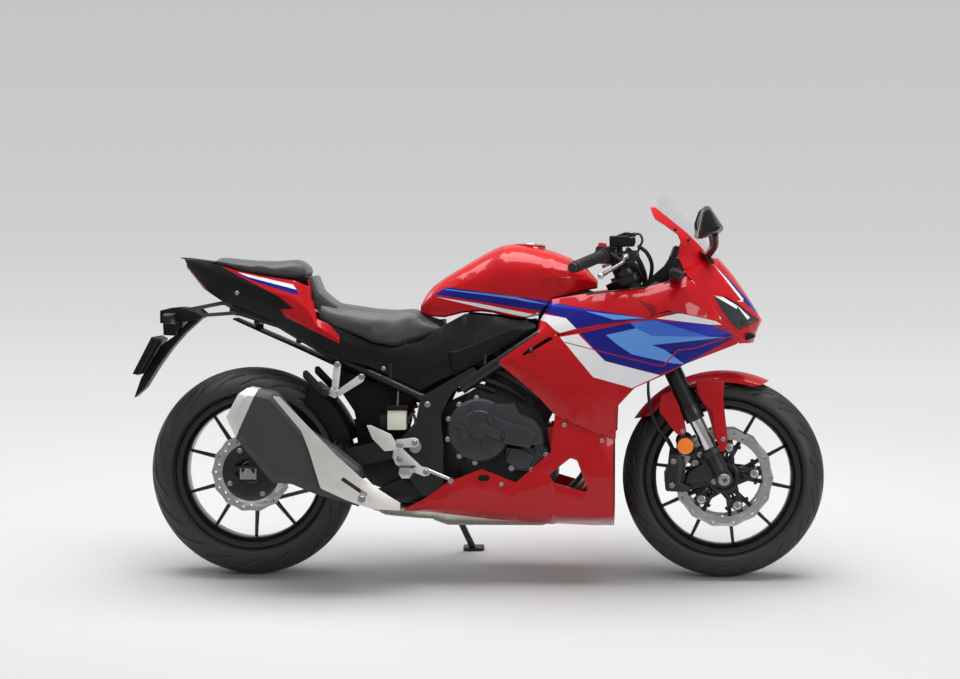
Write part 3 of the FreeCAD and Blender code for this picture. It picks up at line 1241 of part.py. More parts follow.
def foot_lever(reach):
    """A pedal: its arm from beside the peg and the toe piece at its end."""
    outer = PLATE_Y + PLATE_THICKNESS
    x, z, tip_x, tip_z = reach
    arm = bent_tube([(x, outer + 18, z), (x + 60, outer + 24, z - 12), (tip_x, outer + 30, tip_z)], 6.0, 40)
    toe = across(tip_x, tip_z, 8.0, outer + 24, outer + 66)
    hub = across(x, z, 12.0, outer + 11.2, outer + 25)
    return fused(arm, toe, hub)


def pillion_hanger():
    """The left pillion footrest hanger, bolted under the rear rail, with its peg folded up."""
    y = 134.0
    plate = side_plate([(-454, 652, 8), (-352, 606, 8), (-366, 584, 8), (-440, 566, 20), (-488, 506, 10),
                        (-520, 508, 12), (-528, 532, 10), (-486, 580, 14)], y, y + 7)
    window = side_plate([(-446, 622, 6), (-392, 598, 6), (-446, 584, 8), (-474, 556, 6)], y - 5, y + 12)
    plate = plate.cut(window)
    peg = bar((-484, y + 22, 552), (-552, y + 22, 624), 12.0)
    hinge = across(-498, 536, 13.0, y + 7, y + 26)
    bosses = [across(-438, 640, 9.0, 96, y + 1), across(-366, 604, 9.0, 100, y + 1)]
    return fused(plate, peg, hinge, *bosses)


def rear_brake():
    """The rear caliper on its bracket, straddling the disc inside the right arm."""
    ax, az = REAR_AXLE
    low = -REAR_DISC_Y - DISC_THICKNESS / 2 - PAD_GAP
    high = -REAR_DISC_Y + DISC_THICKNESS / 2 + PAD_GAP
    body = side_plate([(ax + 74, az + 64, 8), (ax + 120, az + 50, 10), (ax + 142, az + 84, 10), (ax + 104, az + 124, 12),
                       (ax + 66, az + 112, 10)], -104, -62)
    slot = across(ax, az, REAR_DISC_RADIUS + 3, low, high)
    bracket = side_plate([(ax - 14, az + 26, 6), (ax + 26, az + 16, 6), (ax + 112, az + 70, 8), (ax + 80, az + 96, 8)],
                         -104, low)
    bracket = fused(bracket, across(ax, az, 24.0, -111.7, -88).cut(across(ax, az, REAR_AXLE_RADIUS + 0.0, -130, -60)))
    return fused(body.cut(slot), bracket)


def rear_reservoir():
    cup = fused(Part.makeCylinder(22, 52, V(-258, -164, 450), V(0, 0, 1)),
                Part.makeCylinder(24, 9, V(-258, -164, 499), V(0, 0, 1)))
    stay = bar((-258, -124, 572), (-258, -158, 503), 4.0)
    return fused(cup, stay)


def rear_axle():
    """The rear axle with its nuts and chain adjusters."""
    ax, az = REAR_AXLE
    shaft = across(ax, az, REAR_AXLE_RADIUS, -ARM_OUTER - 6, ARM_OUTER + 6)
    plate = side_plate([(ax - 26, az - 17, 3), (ax - 26, az + 17, 3), (ax + 24, az + 17, 3), (ax + 24, az - 17, 3)],
                       ARM_OUTER + SEAT_GAP, ARM_OUTER + 5)
    nut = side_plate([(ax + 17 * math.cos(math.radians(60 * k)), az + 17 * math.sin(math.radians(60 * k)))
                      for k in range(6)], ARM_OUTER + 5, ARM_OUTER + 17)
    spacer = across(ax, az, 15.0, CHAIN_Y - SPROCKET_THICKNESS / 2 + 0.5, 112 - SEAT_GAP)
    return fused(shaft, plate, mirrored(plate), nut, mirrored(nut), spacer)


def front_axle():
    """The hollow front axle, open right through."""
    x, z = FRONT_AXLE
    reach = LEG_SPACING / 2 + AXLE_REACH
    shaft = across(x, z, FRONT_AXLE_RADIUS, -reach, reach)
    head = across(x, z, FRONT_AXLE_RADIUS + 6, -reach, -reach + 5)
    spacer = across(x, z, FRONT_AXLE_RADIUS + 7, FRONT_HUB_HALF + 0.5, LEG_SPACING / 2 - STANCHION_RADIUS - 4 - SEAT_GAP)
    whole = fused(shaft, head, spacer, mirrored(spacer))
    return whole.cut(across(x, z, FRONT_AXLE_BORE, -200, 200))


def rear_carrier():
    """The cush-drive carrier that the rear sprocket bolts to."""
    ax, az = REAR_AXLE
    low = REAR_HUB_HALF
    high = CHAIN_Y - SPROCKET_THICKNESS / 2
    return turned([(REAR_AXLE_RADIUS + AXLE_CLEARANCE, low), (74, low), (78, low + 10), (72, high),
                   (REAR_AXLE_RADIUS + AXLE_CLEARANCE, high)], ax, az)


def rear_hub_seat():
    ax, az = REAR_AXLE
    return turned([(REAR_AXLE_RADIUS + AXLE_CLEARANCE, REAR_HUB_HALF - 20), (66, REAR_HUB_HALF - 20),
                   (72, REAR_HUB_HALF), (REAR_AXLE_RADIUS + AXLE_CLEARANCE, REAR_HUB_HALF)], ax, az)


def rear_disc_seat():
    ax, az = REAR_AXLE
    return turned([(REAR_AXLE_RADIUS + AXLE_CLEARANCE, -REAR_HUB_HALF), (44, -REAR_HUB_HALF),
                   (44, -REAR_DISC_Y + DISC_THICKNESS / 2), (REAR_AXLE_RADIUS + AXLE_CLEARANCE, -REAR_DISC_Y + DISC_THICKNESS / 2)],
                  ax, az)


def hugger():
    """The short mudguard over the front of the rear tyre."""
    ax, az = REAR_AXLE
    inner = REAR_TYRE_RADIUS + 12
    half = 88.0
    profile = [(inner - 60, half - 3), (inner - 60, half), (inner - 8, half), (inner + 5, half - 26), (inner + 8, 0),
               (inner + 5, 26 - half), (inner - 8, -half), (inner - 60, -half), (inner - 60, 3 - half),
               (inner - 9, 3 - half), (inner + 2, 27 - half), (inner + 5, 0), (inner + 2, half - 27), (inner - 9, half - 3)]
    wire = Part.makePolygon([V(ax + r, y, az) for r, y in profile + profile[:1]])
    face = Part.Face(wire)
    face.rotate(V(ax, 0, az), V(0, 1, 0), -18.0)
    shell = face.revolve(V(ax, 0, az), V(0, 1, 0), -36.0)
    stay = bar((ax + 253, 86, az + 92), (ax + 253, 122, az + 38), 5.0)
    return fused(shell, stay, mirrored(stay))


def in_stand_frame(shape, way):
    """A shape drawn with X down the stand, Y along its pin and Z across, brought to the pivot."""
    axis = stand_axis()
    third = way.cross(axis)
    matrix = FreeCAD.Matrix(way.x, axis.x, third.x, STAND_PIVOT[0], way.y, axis.y, third.y, STAND_PIVOT[1],
                            way.z, axis.z, third.z, STAND_PIVOT[2], 0, 0, 0, 1)
    shape.Placement = FreeCAD.Placement(matrix)
    return shape


def side_stand():
    """The stand: a forked eye over the frame's tongue, the leg, and a foot that lies flat on the ground."""
    fx, fy = STAND_FOOT
    slope = math.radians(LEAN)
    normal = V(0, -math.sin(slope), math.cos(slope))
    ground = V(fx, fy, fy * math.tan(slope) - 1.1 / math.cos(slope))
    ankle = ground + normal * (FOOT_THICKNESS / 2)
    down, folded = stand_directions()
    pivot = V(*STAND_PIVOT)
    cheek_in = TONGUE_THICKNESS / 2 + SEAT_GAP
    cheek_out = cheek_in + 6
    cheek = fused(Part.makeCylinder(15, 6, V(0, cheek_in, 0), V(0, 1, 0)), Part.makeBox(34, 6, 24, V(0, cheek_in, -12)))
    yoke = fused(cheek, mirrored(cheek), Part.makeBox(18, 2 * cheek_out, 24, V(18, -cheek_out, -12)))
    yoke = yoke.cut(Part.makeCylinder(STAND_BOLT + AXLE_CLEARANCE, 60, V(0, -30, 0), V(0, 1, 0)))
    yoke = in_stand_frame(yoke, down)
    foot = Part.makeBox(64, 46, FOOT_THICKNESS, V(-30, -20, 0))
    foot = foot.makeFillet(10, [e for e in foot.Edges if abs(e.tangentAt(e.FirstParameter).z) > 0.9])
    foot.rotate(V(0, 0, 0), V(1, 0, 0), LEAN)
    foot.translate(ground)
    leg = bar(tuple(pivot + down * 28), tuple(ankle), STAND_RADIUS)
    tang_root = pivot + down * 130
    tang = bar(tuple(tang_root), tuple(tang_root + V(-6, 42, 4)), 5.0)
    return fused(yoke, leg, foot, tang)


def stand_tongue():
    """The tongue on the frame that the stand's forked eye turns on."""
    axis = stand_axis()
    up = (V(0, 0, 1) - axis * axis.z).normalize()
    half = TONGUE_THICKNESS / 2
    tongue = fused(Part.makeCylinder(14, 2 * half, V(0, -half, 0), V(0, 1, 0)), Part.makeBox(50, 2 * half, 28, V(0, -half, -14)))
    tongue = tongue.cut(Part.makeCylinder(STAND_BOLT, 60, V(0, -30, 0), V(0, 1, 0)))
    return in_stand_frame(tongue, up)


def stand_bolt():
    cheek_out = TONGUE_THICKNESS / 2 + SEAT_GAP + 6
    reach = cheek_out + SEAT_GAP
    pin = fused(Part.makeCylinder(STAND_BOLT, 2 * reach + 8, V(0, -reach - 4, 0), V(0, 1, 0)),
                Part.makeCylinder(11, 5, V(0, reach, 0), V(0, 1, 0)), Part.makeCylinder(11, 5, V(0, -reach - 5, 0), V(0, 1, 0)))
    return in_stand_frame(pin, stand_directions()[0])


def stand_directions():
    px, py, pz = STAND_PIVOT
    fx, fy = STAND_FOOT
    down = V(fx - px, fy - py, fy * math.tan(math.radians(LEAN)) - pz).normalize()
    folded = V(-0.975, 0.07, -0.2).normalize()
    return down, folded


def stand_axis():
    down, folded = stand_directions()
    return down.cross(folded).normalize()


def brake_hose():
    """The front brake hoses: from the cylinder down past the lower clamp to each caliper."""
    hoses = []
    for side in (-1, 1):
        path = [(508, side * 62, 722), (474, side * 82, 600), (492, side * 92, 470), (546, side * 86, 404),
                (568, side * 80, 352)]
        hoses.append(bent_tube(path, 4.0, 60))
    return hoses


def build():
    """Every node by name, upright in the bike's frame."""
    nodes = {}
    front_bore = FRONT_AXLE_RADIUS + AXLE_CLEARANCE
    rear_bore = REAR_AXLE_RADIUS + AXLE_CLEARANCE
    nodes["front_tyre"] = tyre(FRONT_AXLE, FRONT_TYRE_RADIUS, FRONT_TYRE_WIDTH, FRONT_RIM_WIDTH)
    nodes["rear_tyre"] = tyre(REAR_AXLE, REAR_TYRE_RADIUS, REAR_TYRE_WIDTH, REAR_RIM_WIDTH)
    nodes["front_rim"] = rim(FRONT_AXLE, FRONT_RIM_WIDTH, FRONT_HUB_RADIUS, FRONT_HUB_HALF, front_bore, 8.4, 92.0,
                             FRONT_DISC_Y - DISC_THICKNESS / 2)
    rear = rim(REAR_AXLE, REAR_RIM_WIDTH, REAR_HUB_RADIUS, REAR_HUB_HALF, rear_bore, 1.0, 0, 0)
    nodes["rear_rim"] = fused(rear, rear_hub_seat(), rear_disc_seat())
    disc = wave_disc(FRONT_AXLE, FRONT_DISC_RADIUS, FRONT_DISC_Y, 8.4, 92.0)
    nodes["front_discs"] = both(disc)
    rear_disc = wave_disc(REAR_AXLE, REAR_DISC_RADIUS, -REAR_DISC_Y, 36.0, 46.0, 32.0)
    nodes["rear_disc"] = rear_disc
    nodes["rear_sprocket"] = fused(sprocket(REAR_AXLE, REAR_TEETH, CHAIN_Y, 60.0, SPROCKET_THICKNESS), rear_carrier())
    engine_sprocket = sprocket(COUNTERSHAFT, FRONT_TEETH, CHAIN_Y, 14.0, CHAIN_GAP - 2 * SEAT_GAP)
    nodes["chain"] = chain_loop()

    outer, stanchion, lug = fork_legs()
    nodes["fork_tubes"] = outer
    nodes["fork_stanchions"] = stanchion
    nodes["fork_lugs"] = lug
    nodes["triple_clamps"] = triple_clamps()
    metal, rubber, weight = handlebars()
    boxes, levers = controls()
    nodes["handlebars"] = Part.makeCompound([metal, weight])
    nodes["grips"] = rubber
    nodes["switch_boxes"] = trimmed(boxes, metal, rubber, levers)
    nodes["levers"] = levers
    shell, guards = front_fender()
    nodes["front_fender"] = trimmed(fused(shell, *guards, *[mirrored(g) for g in guards]), lug)
    nodes["front_calipers"] = trimmed(both(front_caliper()), lug)
    nodes["front_axle"] = front_axle()
    nodes["brake_hoses"] = trimmed(Part.makeCompound(brake_hose()), nodes["triple_clamps"], nodes["front_calipers"])

    tank, filler = fuel_tank()
    nodes["fuel_tank"] = fused(tank, filler)
    nodes["rider_seat"] = seat_shape(SEAT)
    nodes["pillion_seat"] = seat_shape(PILLION)
    nodes["tail_cowl"] = trimmed(tail_cowl(), nodes["pillion_seat"], nodes["rider_seat"])
    nodes["side_covers"] = both(side_skin(SIDE_COVER))
    nodes["shoulder_cowls"] = both(side_skin(SHOULDER))
    vent = side_plate([(108, 662, 3), (118, 676, 3), (192, 722, 3), (208, 719, 3), (140, 678, 3)], 100, 260)
    mid = side_skin(MID_COWL).common(side_plate(MID_OUTLINE, 100, 260)).cut(vent)
    nodes["mid_cowls"] = trimmed(both(mid), nodes["shoulder_cowls"])
    nodes["belly_left"] = belly_left()
    nodes["belly_right"] = mirrored(side_skin(BELLY).cut(side_plate(BELLY_OPENING, 120, 260)))
    nodes["nose_cowl"] = trimmed(nose_cowl(), nodes["shoulder_cowls"])
    nodes["headlamps"] = headlamps()
    nodes["windscreen"] = trimmed(windscreen(), nodes["nose_cowl"])
    nodes["inner_cowls"] = trimmed(both(side_skin(INNER_COWL, 3.0)), nodes["shoulder_cowls"], nodes["nose_cowl"])
    panels = [nodes[n] for n in ("fuel_tank", "rider_seat", "pillion_seat", "tail_cowl", "side_covers", "shoulder_cowls",
                                 "mid_cowls", "nose_cowl")]

    nodes["frame"] = largest(trimmed(frame(), *panels))
    nodes["swingarm"] = swingarm()
    nodes["subframe"] = largest(subframe(nodes["frame"], *panels))
    nodes["pivot_bolt"] = Part.makeCompound([pivot_bolt(), stand_bolt()])
    nodes["rear_axle"] = rear_axle()
    body, coil = shock()
    nodes["shock"] = body
    nodes["shock_spring"] = coil
    block = engine_block()
    shaft = across(COUNTERSHAFT[0], COUNTERSHAFT[1], 13.7, 60, CHAIN_Y + 6)
    holders = fused(bar((150, 110, 300), (150, 196, 300), 6.0), bar((60, 110, 262), (60, 196, 262), 6.0))
    holders = fused(holders, mirrored(holders))
    nodes["engine_block"] = largest(trimmed(fused(block, shaft, holders), nodes["belly_left"], nodes["belly_right"]))
    nodes["chain"] = Part.makeCompound([chain_loop(), engine_sprocket])
    nodes["clutch_cover"] = clutch_cover()
    right, left = engine_covers()
    right = trimmed(right, nodes["clutch_cover"])
    nodes["engine_covers"] = Part.makeCompound([right, left, sprocket_cover()])
    nodes["radiator"] = trimmed(radiator(), nodes["engine_block"], nodes["frame"])
    can = silencer()
    nodes["exhaust_pipes"] = trimmed(exhaust_pipes(), nodes["engine_block"], can)
    nodes["silencer"] = can
    nodes["silencer_guard"] = silencer_guard()

    nodes["undertray"] = trimmed(undertray(), nodes["subframe"])
    nodes["tail_lamp"] = trimmed(tail_lamp(), nodes["tail_cowl"])
    nodes["plate_bracket"] = trimmed(plate_bracket(), nodes["subframe"])
    nodes["fairing_stay"] = largest(trimmed(fairing_stay(), nodes["nose_cowl"], nodes["headlamps"], nodes["frame"]))
    nodes["dashboard"] = trimmed(dashboard(), nodes["fairing_stay"])
    mirror = mirror_unit()
    nodes["mirrors"] = largest(trimmed(both(mirror), nodes["nose_cowl"]), 2)
    front_lamps = largest(trimmed(front_indicators(), nodes["shoulder_cowls"], nodes["inner_cowls"]), 2)
    nodes["indicators"] = Part.makeCompound([front_lamps, rear_indicators()])

    nodes["rearsets"] = both(rearset())
    nodes["foot_levers"] = both(foot_lever((-226, 340, -96, 300)))
    nodes["pillion_hangers"] = trimmed(both(pillion_hanger()), nodes["subframe"])
    reservoir = trimmed(rear_reservoir(), nodes["subframe"])
    nodes["rear_brake"] = Part.makeCompound([rear_brake(), reservoir])
    nodes["hugger"] = largest(trimmed(hugger(), nodes["swingarm"]))
    nodes["side_stand"] = side_stand()
    return nodes


def lean_and_centre(nodes):
    """Turn the bike onto its stand and bring the middle of its bottom to the origin."""
    for shape in nodes.values():
        shape.rotate(V(0, 0, 0), V(1, 0, 0), -LEAN)
    box = FreeCAD.BoundBox()
    for shape in nodes.values():
        box.add(shape.optimalBoundingBox(False))
    shift = V(-box.Center.x, -box.Center.y, -box.ZMin)
    for shape in nodes.values():
        shape.translate(shift)
    return shift


def placed(point, shift):
    """A point of the upright bike as it lies on the leaning one."""
    turned_point = FreeCAD.Rotation(V(1, 0, 0), -LEAN).multVec(V(*point))
    moved = turned_point + shift
    return [round(moved.x, 3), round(moved.y, 3), round(moved.z, 3)]


def pointed(way):
    turned_way = FreeCAD.Rotation(V(1, 0, 0), -LEAN).multVec(V(*way))
    return [round(turned_way.x, 6), round(turned_way.y, 6), round(turned_way.z, 6)]


def layout(shift):
    """The joints' places and directions on the finished bike."""
    x, z = fork_point(TOP_CLAMP, -FORK_OFFSET)
    axis = stand_axis()
    low_x, low_z = fork_point(LOWER_CLAMP, -FORK_OFFSET)
    return {
        "shift": [shift.x, shift.y, shift.z],
        "lean": LEAN,
        "lock": STEERING_LOCK,
        "fold": STAND_FOLD,
        "axle_length": 2 * (LEG_SPACING / 2 + AXLE_REACH),
        "stem_length": TOP_CLAMP + CLAMP_THICKNESS + 10 - LOWER_CLAMP,
        "steering": {"point": placed((x, 0, z), shift), "axis": pointed((-RAKE_SIN, 0, RAKE_COS))},
        "front_wheel": {"point": placed((FRONT_AXLE[0], 0, FRONT_AXLE[1]), shift), "axis": pointed((0, 1, 0))},
        "rear_wheel": {"point": placed((REAR_AXLE[0], 0, REAR_AXLE[1]), shift), "axis": pointed((0, 1, 0))},
        "side_stand": {"point": placed(STAND_PIVOT, shift), "axis": pointed(tuple(axis))},
        "stem_bottom": placed((low_x, 0, low_z), shift),
        "axle_end": placed((FRONT_AXLE[0], LEG_SPACING / 2 + AXLE_REACH, FRONT_AXLE[1]), shift),
        "axle_end_right": placed((FRONT_AXLE[0], -LEG_SPACING / 2 - AXLE_REACH, FRONT_AXLE[1]), shift),
        "plate_holes": placed((-1030.7, 0, 691.3), shift),
        "finger_gaps": [placed((349, y, 931), shift) for y in (-296, 296)],
        "plate_normal": pointed((-0.97, 0, 0.24)),
    }


if __name__ == "__main__":
    built = build()
    moved = lean_and_centre(built)
    os.makedirs("parts", exist_ok=True)
    for name, shape in built.items():
        shape.exportStep("parts/" + name + ".step")
    print("LAYOUT " + json.dumps(layout(moved)))
    low = min(shape.BoundBox.XMin for shape in built.values())
    high = max(shape.BoundBox.XMax for shape in built.values())
    print("length", round(high - low, 1))
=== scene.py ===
"""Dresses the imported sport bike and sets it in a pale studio.

Every length in this file is in millimetres on the upright bike, with X forward, Y to the
rider's left and Z up from the ground, unless a name ends in _m. BikeAxes turns such a place
into the leaning bike's own frame, in metres.
"""

import json
import logging
import math
from dataclasses import dataclass
from enum import Enum
from typing import Sequence

import bmesh
import bpy
from mathutils import Matrix, Vector


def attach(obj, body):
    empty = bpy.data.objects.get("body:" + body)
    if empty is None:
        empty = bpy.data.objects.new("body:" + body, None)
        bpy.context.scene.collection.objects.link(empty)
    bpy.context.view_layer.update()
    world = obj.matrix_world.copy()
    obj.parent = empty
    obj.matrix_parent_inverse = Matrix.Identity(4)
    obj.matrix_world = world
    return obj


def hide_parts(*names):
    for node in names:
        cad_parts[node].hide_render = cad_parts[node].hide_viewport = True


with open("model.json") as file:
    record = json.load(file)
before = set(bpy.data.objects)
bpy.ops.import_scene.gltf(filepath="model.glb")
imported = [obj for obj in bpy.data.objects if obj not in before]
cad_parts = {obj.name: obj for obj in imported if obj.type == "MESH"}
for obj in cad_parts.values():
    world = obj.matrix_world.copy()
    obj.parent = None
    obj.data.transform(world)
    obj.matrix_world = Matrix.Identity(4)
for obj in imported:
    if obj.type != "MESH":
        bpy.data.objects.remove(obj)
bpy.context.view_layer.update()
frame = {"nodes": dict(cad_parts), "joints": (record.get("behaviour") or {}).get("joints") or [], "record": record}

log = logging.getLogger("sport_bike")

MM = 0.001
WELD_M = 0.00002
ROLL_STEPS = 2
REAR_AXLE = (-705.0, 0.0, 311.9)
FRONT_AXLE = (705.0, 0.0, 299.9)
RIM_RADIUS = 215.9
CHAIN_PITCH = 15.875
CHAIN_Y = 98.0
COUNTERSHAFT = (-118.0, 0.0, 392.0)
REAR_TEETH = 41
FRONT_TEETH = 15
BOSSES = 5
BOSS_CIRCLE = 92.0
BOSS_PHASE = 8.4
DISC_INNER_RADIUS = 115.3
CLUTCH_X, CLUTCH_Z = -15.0, 445.0
GENERATOR_X, GENERATOR_Z = 70.0, 396.0
PICTURE_WIDTH_PX = 960
SENSOR_MM = 36.0
WORLD_GREY = "#F4F5F7"
WORLD_STRENGTH = 0.4
Point = tuple[float, float, float]
Flat = tuple[float, float]
LEFT = (0.0, 1.0, 0.0)
RIGHT = (0.0, -1.0, 0.0)
UP = (0.0, 0.0, 1.0)


@dataclass(frozen=True)
class BikeAxes:
    """The upright bike's axes as they lie in the leaning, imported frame."""

    origin: Vector
    side: Vector
    up: Vector

    def place(self, x: float, y: float, z: float) -> Vector:
        """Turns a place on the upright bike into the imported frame.

        Args:
            x: Millimetres forward of the middle of the wheelbase.
            y: Millimetres to the rider's left.
            z: Millimetres above the ground.

        Returns:
            The place in metres.
        """
        return self.origin + (Vector((x, 0, 0)) + self.side * y + self.up * z) * MM

    def way(self, x: float, y: float, z: float) -> Vector:
        """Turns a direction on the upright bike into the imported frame."""
        return (Vector((x, 0, 0)) + self.side * y + self.up * z).normalized()

    @property
    def matrix(self) -> Matrix:
        """The matrix from bike millimetres to packed metres."""
        turn = Matrix((Vector((1, 0, 0)), self.side, self.up)).transposed()
        return Matrix.Translation(self.origin) @ turn.to_4x4() @ Matrix.Scale(MM, 4)

    @property
    def lean(self) -> float:
        """How far the bike's up axis is turned about X, in radians."""
        return math.atan2(-self.up.y, self.up.z)


def read_axes() -> BikeAxes:
    """Reads the bike's axes from the rear wheel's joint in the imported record.

    Returns:
        The axes of the upright bike.
    """
    joint = next(j for j in frame["joints"] if j["child"] == "rear_wheel")
    side = Vector(joint["axis"]).normalized()
    if side.y < 0:
        side = -side
    up = Vector((1, 0, 0)).cross(side)
    hub = Vector(joint["pos_m"])
    return BikeAxes(hub - (Vector((REAR_AXLE[0], 0, 0)) + up * REAR_AXLE[2]) * MM, side, up)


AXES = read_axes()
BODY_OF = {n: body for body, nodes in frame["record"]["behaviour"]["bodies"].items() for n in nodes}


def linear(code: str) -> tuple[float, float, float, float]:
    """Turns an sRGB hex colour into the linear colour that Blender wants.

    Args:
        code: Six hex digits, with or without a leading #.

    Returns:
        Linear red, green, blue and an alpha of one.
    """
    digits = code.lstrip("#")
    parts = [int(digits[i:i + 2], 16) / 255 for i in (0, 2, 4)]
    lin = [p / 12.92 if p <= 0.04045 else ((p + 0.055) / 1.055) ** 2.4 for p in parts]
    return (lin[0], lin[1], lin[2], 1.0)


def add_node(tree: bpy.types.NodeTree, kind: str, links: dict | None = None,
             **settings: object) -> bpy.types.Node:
    """Adds one node with its settings and what feeds it.

    Args:
        tree: The tree that gets the node.
        kind: The node's type name.
        links: Input name or number to a socket that feeds it or a value that it holds.
        **settings: Attributes of the node.

    Returns:
        The new node.
    """
    node = tree.nodes.new(kind)
    for name, value in settings.items():
        setattr(node, name, value)
    for name, value in (links or {}).items():
        socket = node.inputs[name]
        if isinstance(value, bpy.types.NodeSocket):
            tree.links.new(value, socket)
        else:
            socket.default_value = value
    return node


@dataclass(frozen=True)
class Band:
    """One area of colour seen from the side, as convex outlines of (x, z) points."""

    colour: str
    outlines: tuple[tuple[Flat, ...], ...]


@dataclass(frozen=True)
class Finish:
    """A real surface: what it is made of, how it was made and what the eye gets from that."""

    name: str
    colour: str
    roughness: float
    metallic: float = 0.0
    ior: float = 1.5
    grain_mm: float = 1.0
    depth_mm: float = 0.02
    mottle: float = 0.06
    rough_spread: float = 0.06
    coat: float = 0.0
    glow: float = 0.0
    sheen: float = 0.0
    shine: float = 0.5
    brushed: bool = False
    alpha: float = 1.0
    bands: tuple[Band, ...] = ()

    def material(self) -> bpy.types.Material:
        """Builds the finish as a material, once.

        Returns:
            The material of this name.
        """
        known = bpy.data.materials.get(self.name)
        if known:
            return known
        made = bpy.data.materials.new(self.name)
        made.use_nodes = True
        tree = made.node_tree
        tree.nodes.clear()
        place = add_node(tree, "ShaderNodeTexCoord").outputs["Object"]
        stretch = (1.0, 1.0, 0.06) if self.brushed else (1.0, 1.0, 1.0)
        grain_place = add_node(tree, "ShaderNodeMapping", {"Vector": place, "Scale": stretch}).outputs[0]
        grain = add_node(tree, "ShaderNodeTexNoise", {
            "Vector": grain_place, "Scale": 1 / (self.grain_mm * MM), "Detail": 3.0})
        broad = add_node(tree, "ShaderNodeTexNoise", {"Vector": place, "Scale": 14.0, "Detail": 4.0})
        rough = add_node(tree, "ShaderNodeMapRange", {
            "Value": broad.outputs["Fac"], "From Min": 0.3, "From Max": 0.7,
            "To Min": max(self.roughness - self.rough_spread, 0.02),
            "To Max": min(self.roughness + self.rough_spread, 1.0)})
        base = self._painted(tree, place)
        shade = add_node(tree, "ShaderNodeMapRange", {
            "Value": broad.outputs["Fac"], "From Min": 0.25, "From Max": 0.75,
            "To Min": 1 - self.mottle, "To Max": 1 + self.mottle})
        tone = add_node(tree, "ShaderNodeVectorMath", {0: base, "Scale": shade.outputs[0]}, operation="SCALE")
        bump = add_node(tree, "ShaderNodeBump", {"Height": grain.outputs["Fac"], "Strength": 1.0,
                                                 "Distance": self.depth_mm * MM})
        shader = add_node(tree, "ShaderNodeBsdfPrincipled", {
            "Base Color": tone.outputs[0], "Roughness": rough.outputs[0], "Normal": bump.outputs[0],
            "Metallic": self.metallic, "IOR": self.ior, "Coat Weight": self.coat, "Coat Roughness": 0.03,
            "Sheen Weight": self.sheen, "Specular IOR Level": self.shine, "Alpha": self.alpha})
        if self.glow > 0:
            shader.inputs["Emission Color"].default_value = linear(self.colour)
            shader.inputs["Emission Strength"].default_value = self.glow
        add_node(tree, "ShaderNodeOutputMaterial", {"Surface": shader.outputs[0]})
        return made

    def _painted(self, tree: bpy.types.NodeTree, place: bpy.types.NodeSocket) -> bpy.types.NodeSocket:
        """Adds the colour, with the bands laid over it in order.

        Args:
            tree: The material's tree.
            place: The Object coordinates.

        Returns:
            The socket that carries the colour.
        """
        colour = add_node(tree, "ShaderNodeRGB")
        colour.outputs[0].default_value = linear(self.colour)
        result = colour.outputs[0]
        if not self.bands:
            return result
        bike = add_node(tree, "ShaderNodeMapping", {
            "Vector": place, "Location": AXES.origin, "Rotation": (AXES.lean, 0, 0), "Scale": (MM, MM, MM),
        }, vector_type="TEXTURE").outputs[0]
        parts = add_node(tree, "ShaderNodeSeparateXYZ", {"Vector": bike})
        flat = add_node(tree, "ShaderNodeCombineXYZ", {
            "X": parts.outputs["X"], "Y": 1.0, "Z": parts.outputs["Z"]})
        for band in self.bands:
            inside = None
            for outline in band.outlines:
                depth = None
                for normal in half_planes(outline):
                    dot = add_node(tree, "ShaderNodeVectorMath", {0: flat.outputs[0], 1: normal},
                                   operation="DOT_PRODUCT").outputs["Value"]
                    depth = dot if depth is None else add_node(
                        tree, "ShaderNodeMath", {0: depth, 1: dot}, operation="MINIMUM").outputs[0]
                inside = depth if inside is None else add_node(
                    tree, "ShaderNodeMath", {0: inside, 1: depth}, operation="MAXIMUM").outputs[0]
            share = add_node(tree, "ShaderNodeMapRange", {"Value": inside, "From Min": -0.3, "From Max": 0.3})
            over = add_node(tree, "ShaderNodeMix", {"Factor": share.outputs[0], 6: result,
                                                    7: linear(band.colour)}, data_type="RGBA")
            result = over.outputs[2]
        return result


def half_planes(outline: Sequence[Flat]) -> list[Point]:
    """Turns a convex outline into inward half planes.

    Args:
        outline: The (x, z) points in order, either way round.

    Returns:
        For each edge the numbers (a, c, b) of the depth a x + b z + c, positive inside.
    """
    middle_x = sum(p[0] for p in outline) / len(outline)
    middle_z = sum(p[1] for p in outline) / len(outline)
    planes = []
    for (x0, z0), (x1, z1) in zip(outline, (*outline[1:], outline[0])):
        length = math.hypot(x1 - x0, z1 - z0)
        a, b = (z1 - z0) / length, (x0 - x1) / length
        c = -(a * x0 + b * z0)
        sign = 1.0 if a * middle_x + b * middle_z + c > 0 else -1.0
        planes.append((a * sign, c * sign, b * sign))
    return planes


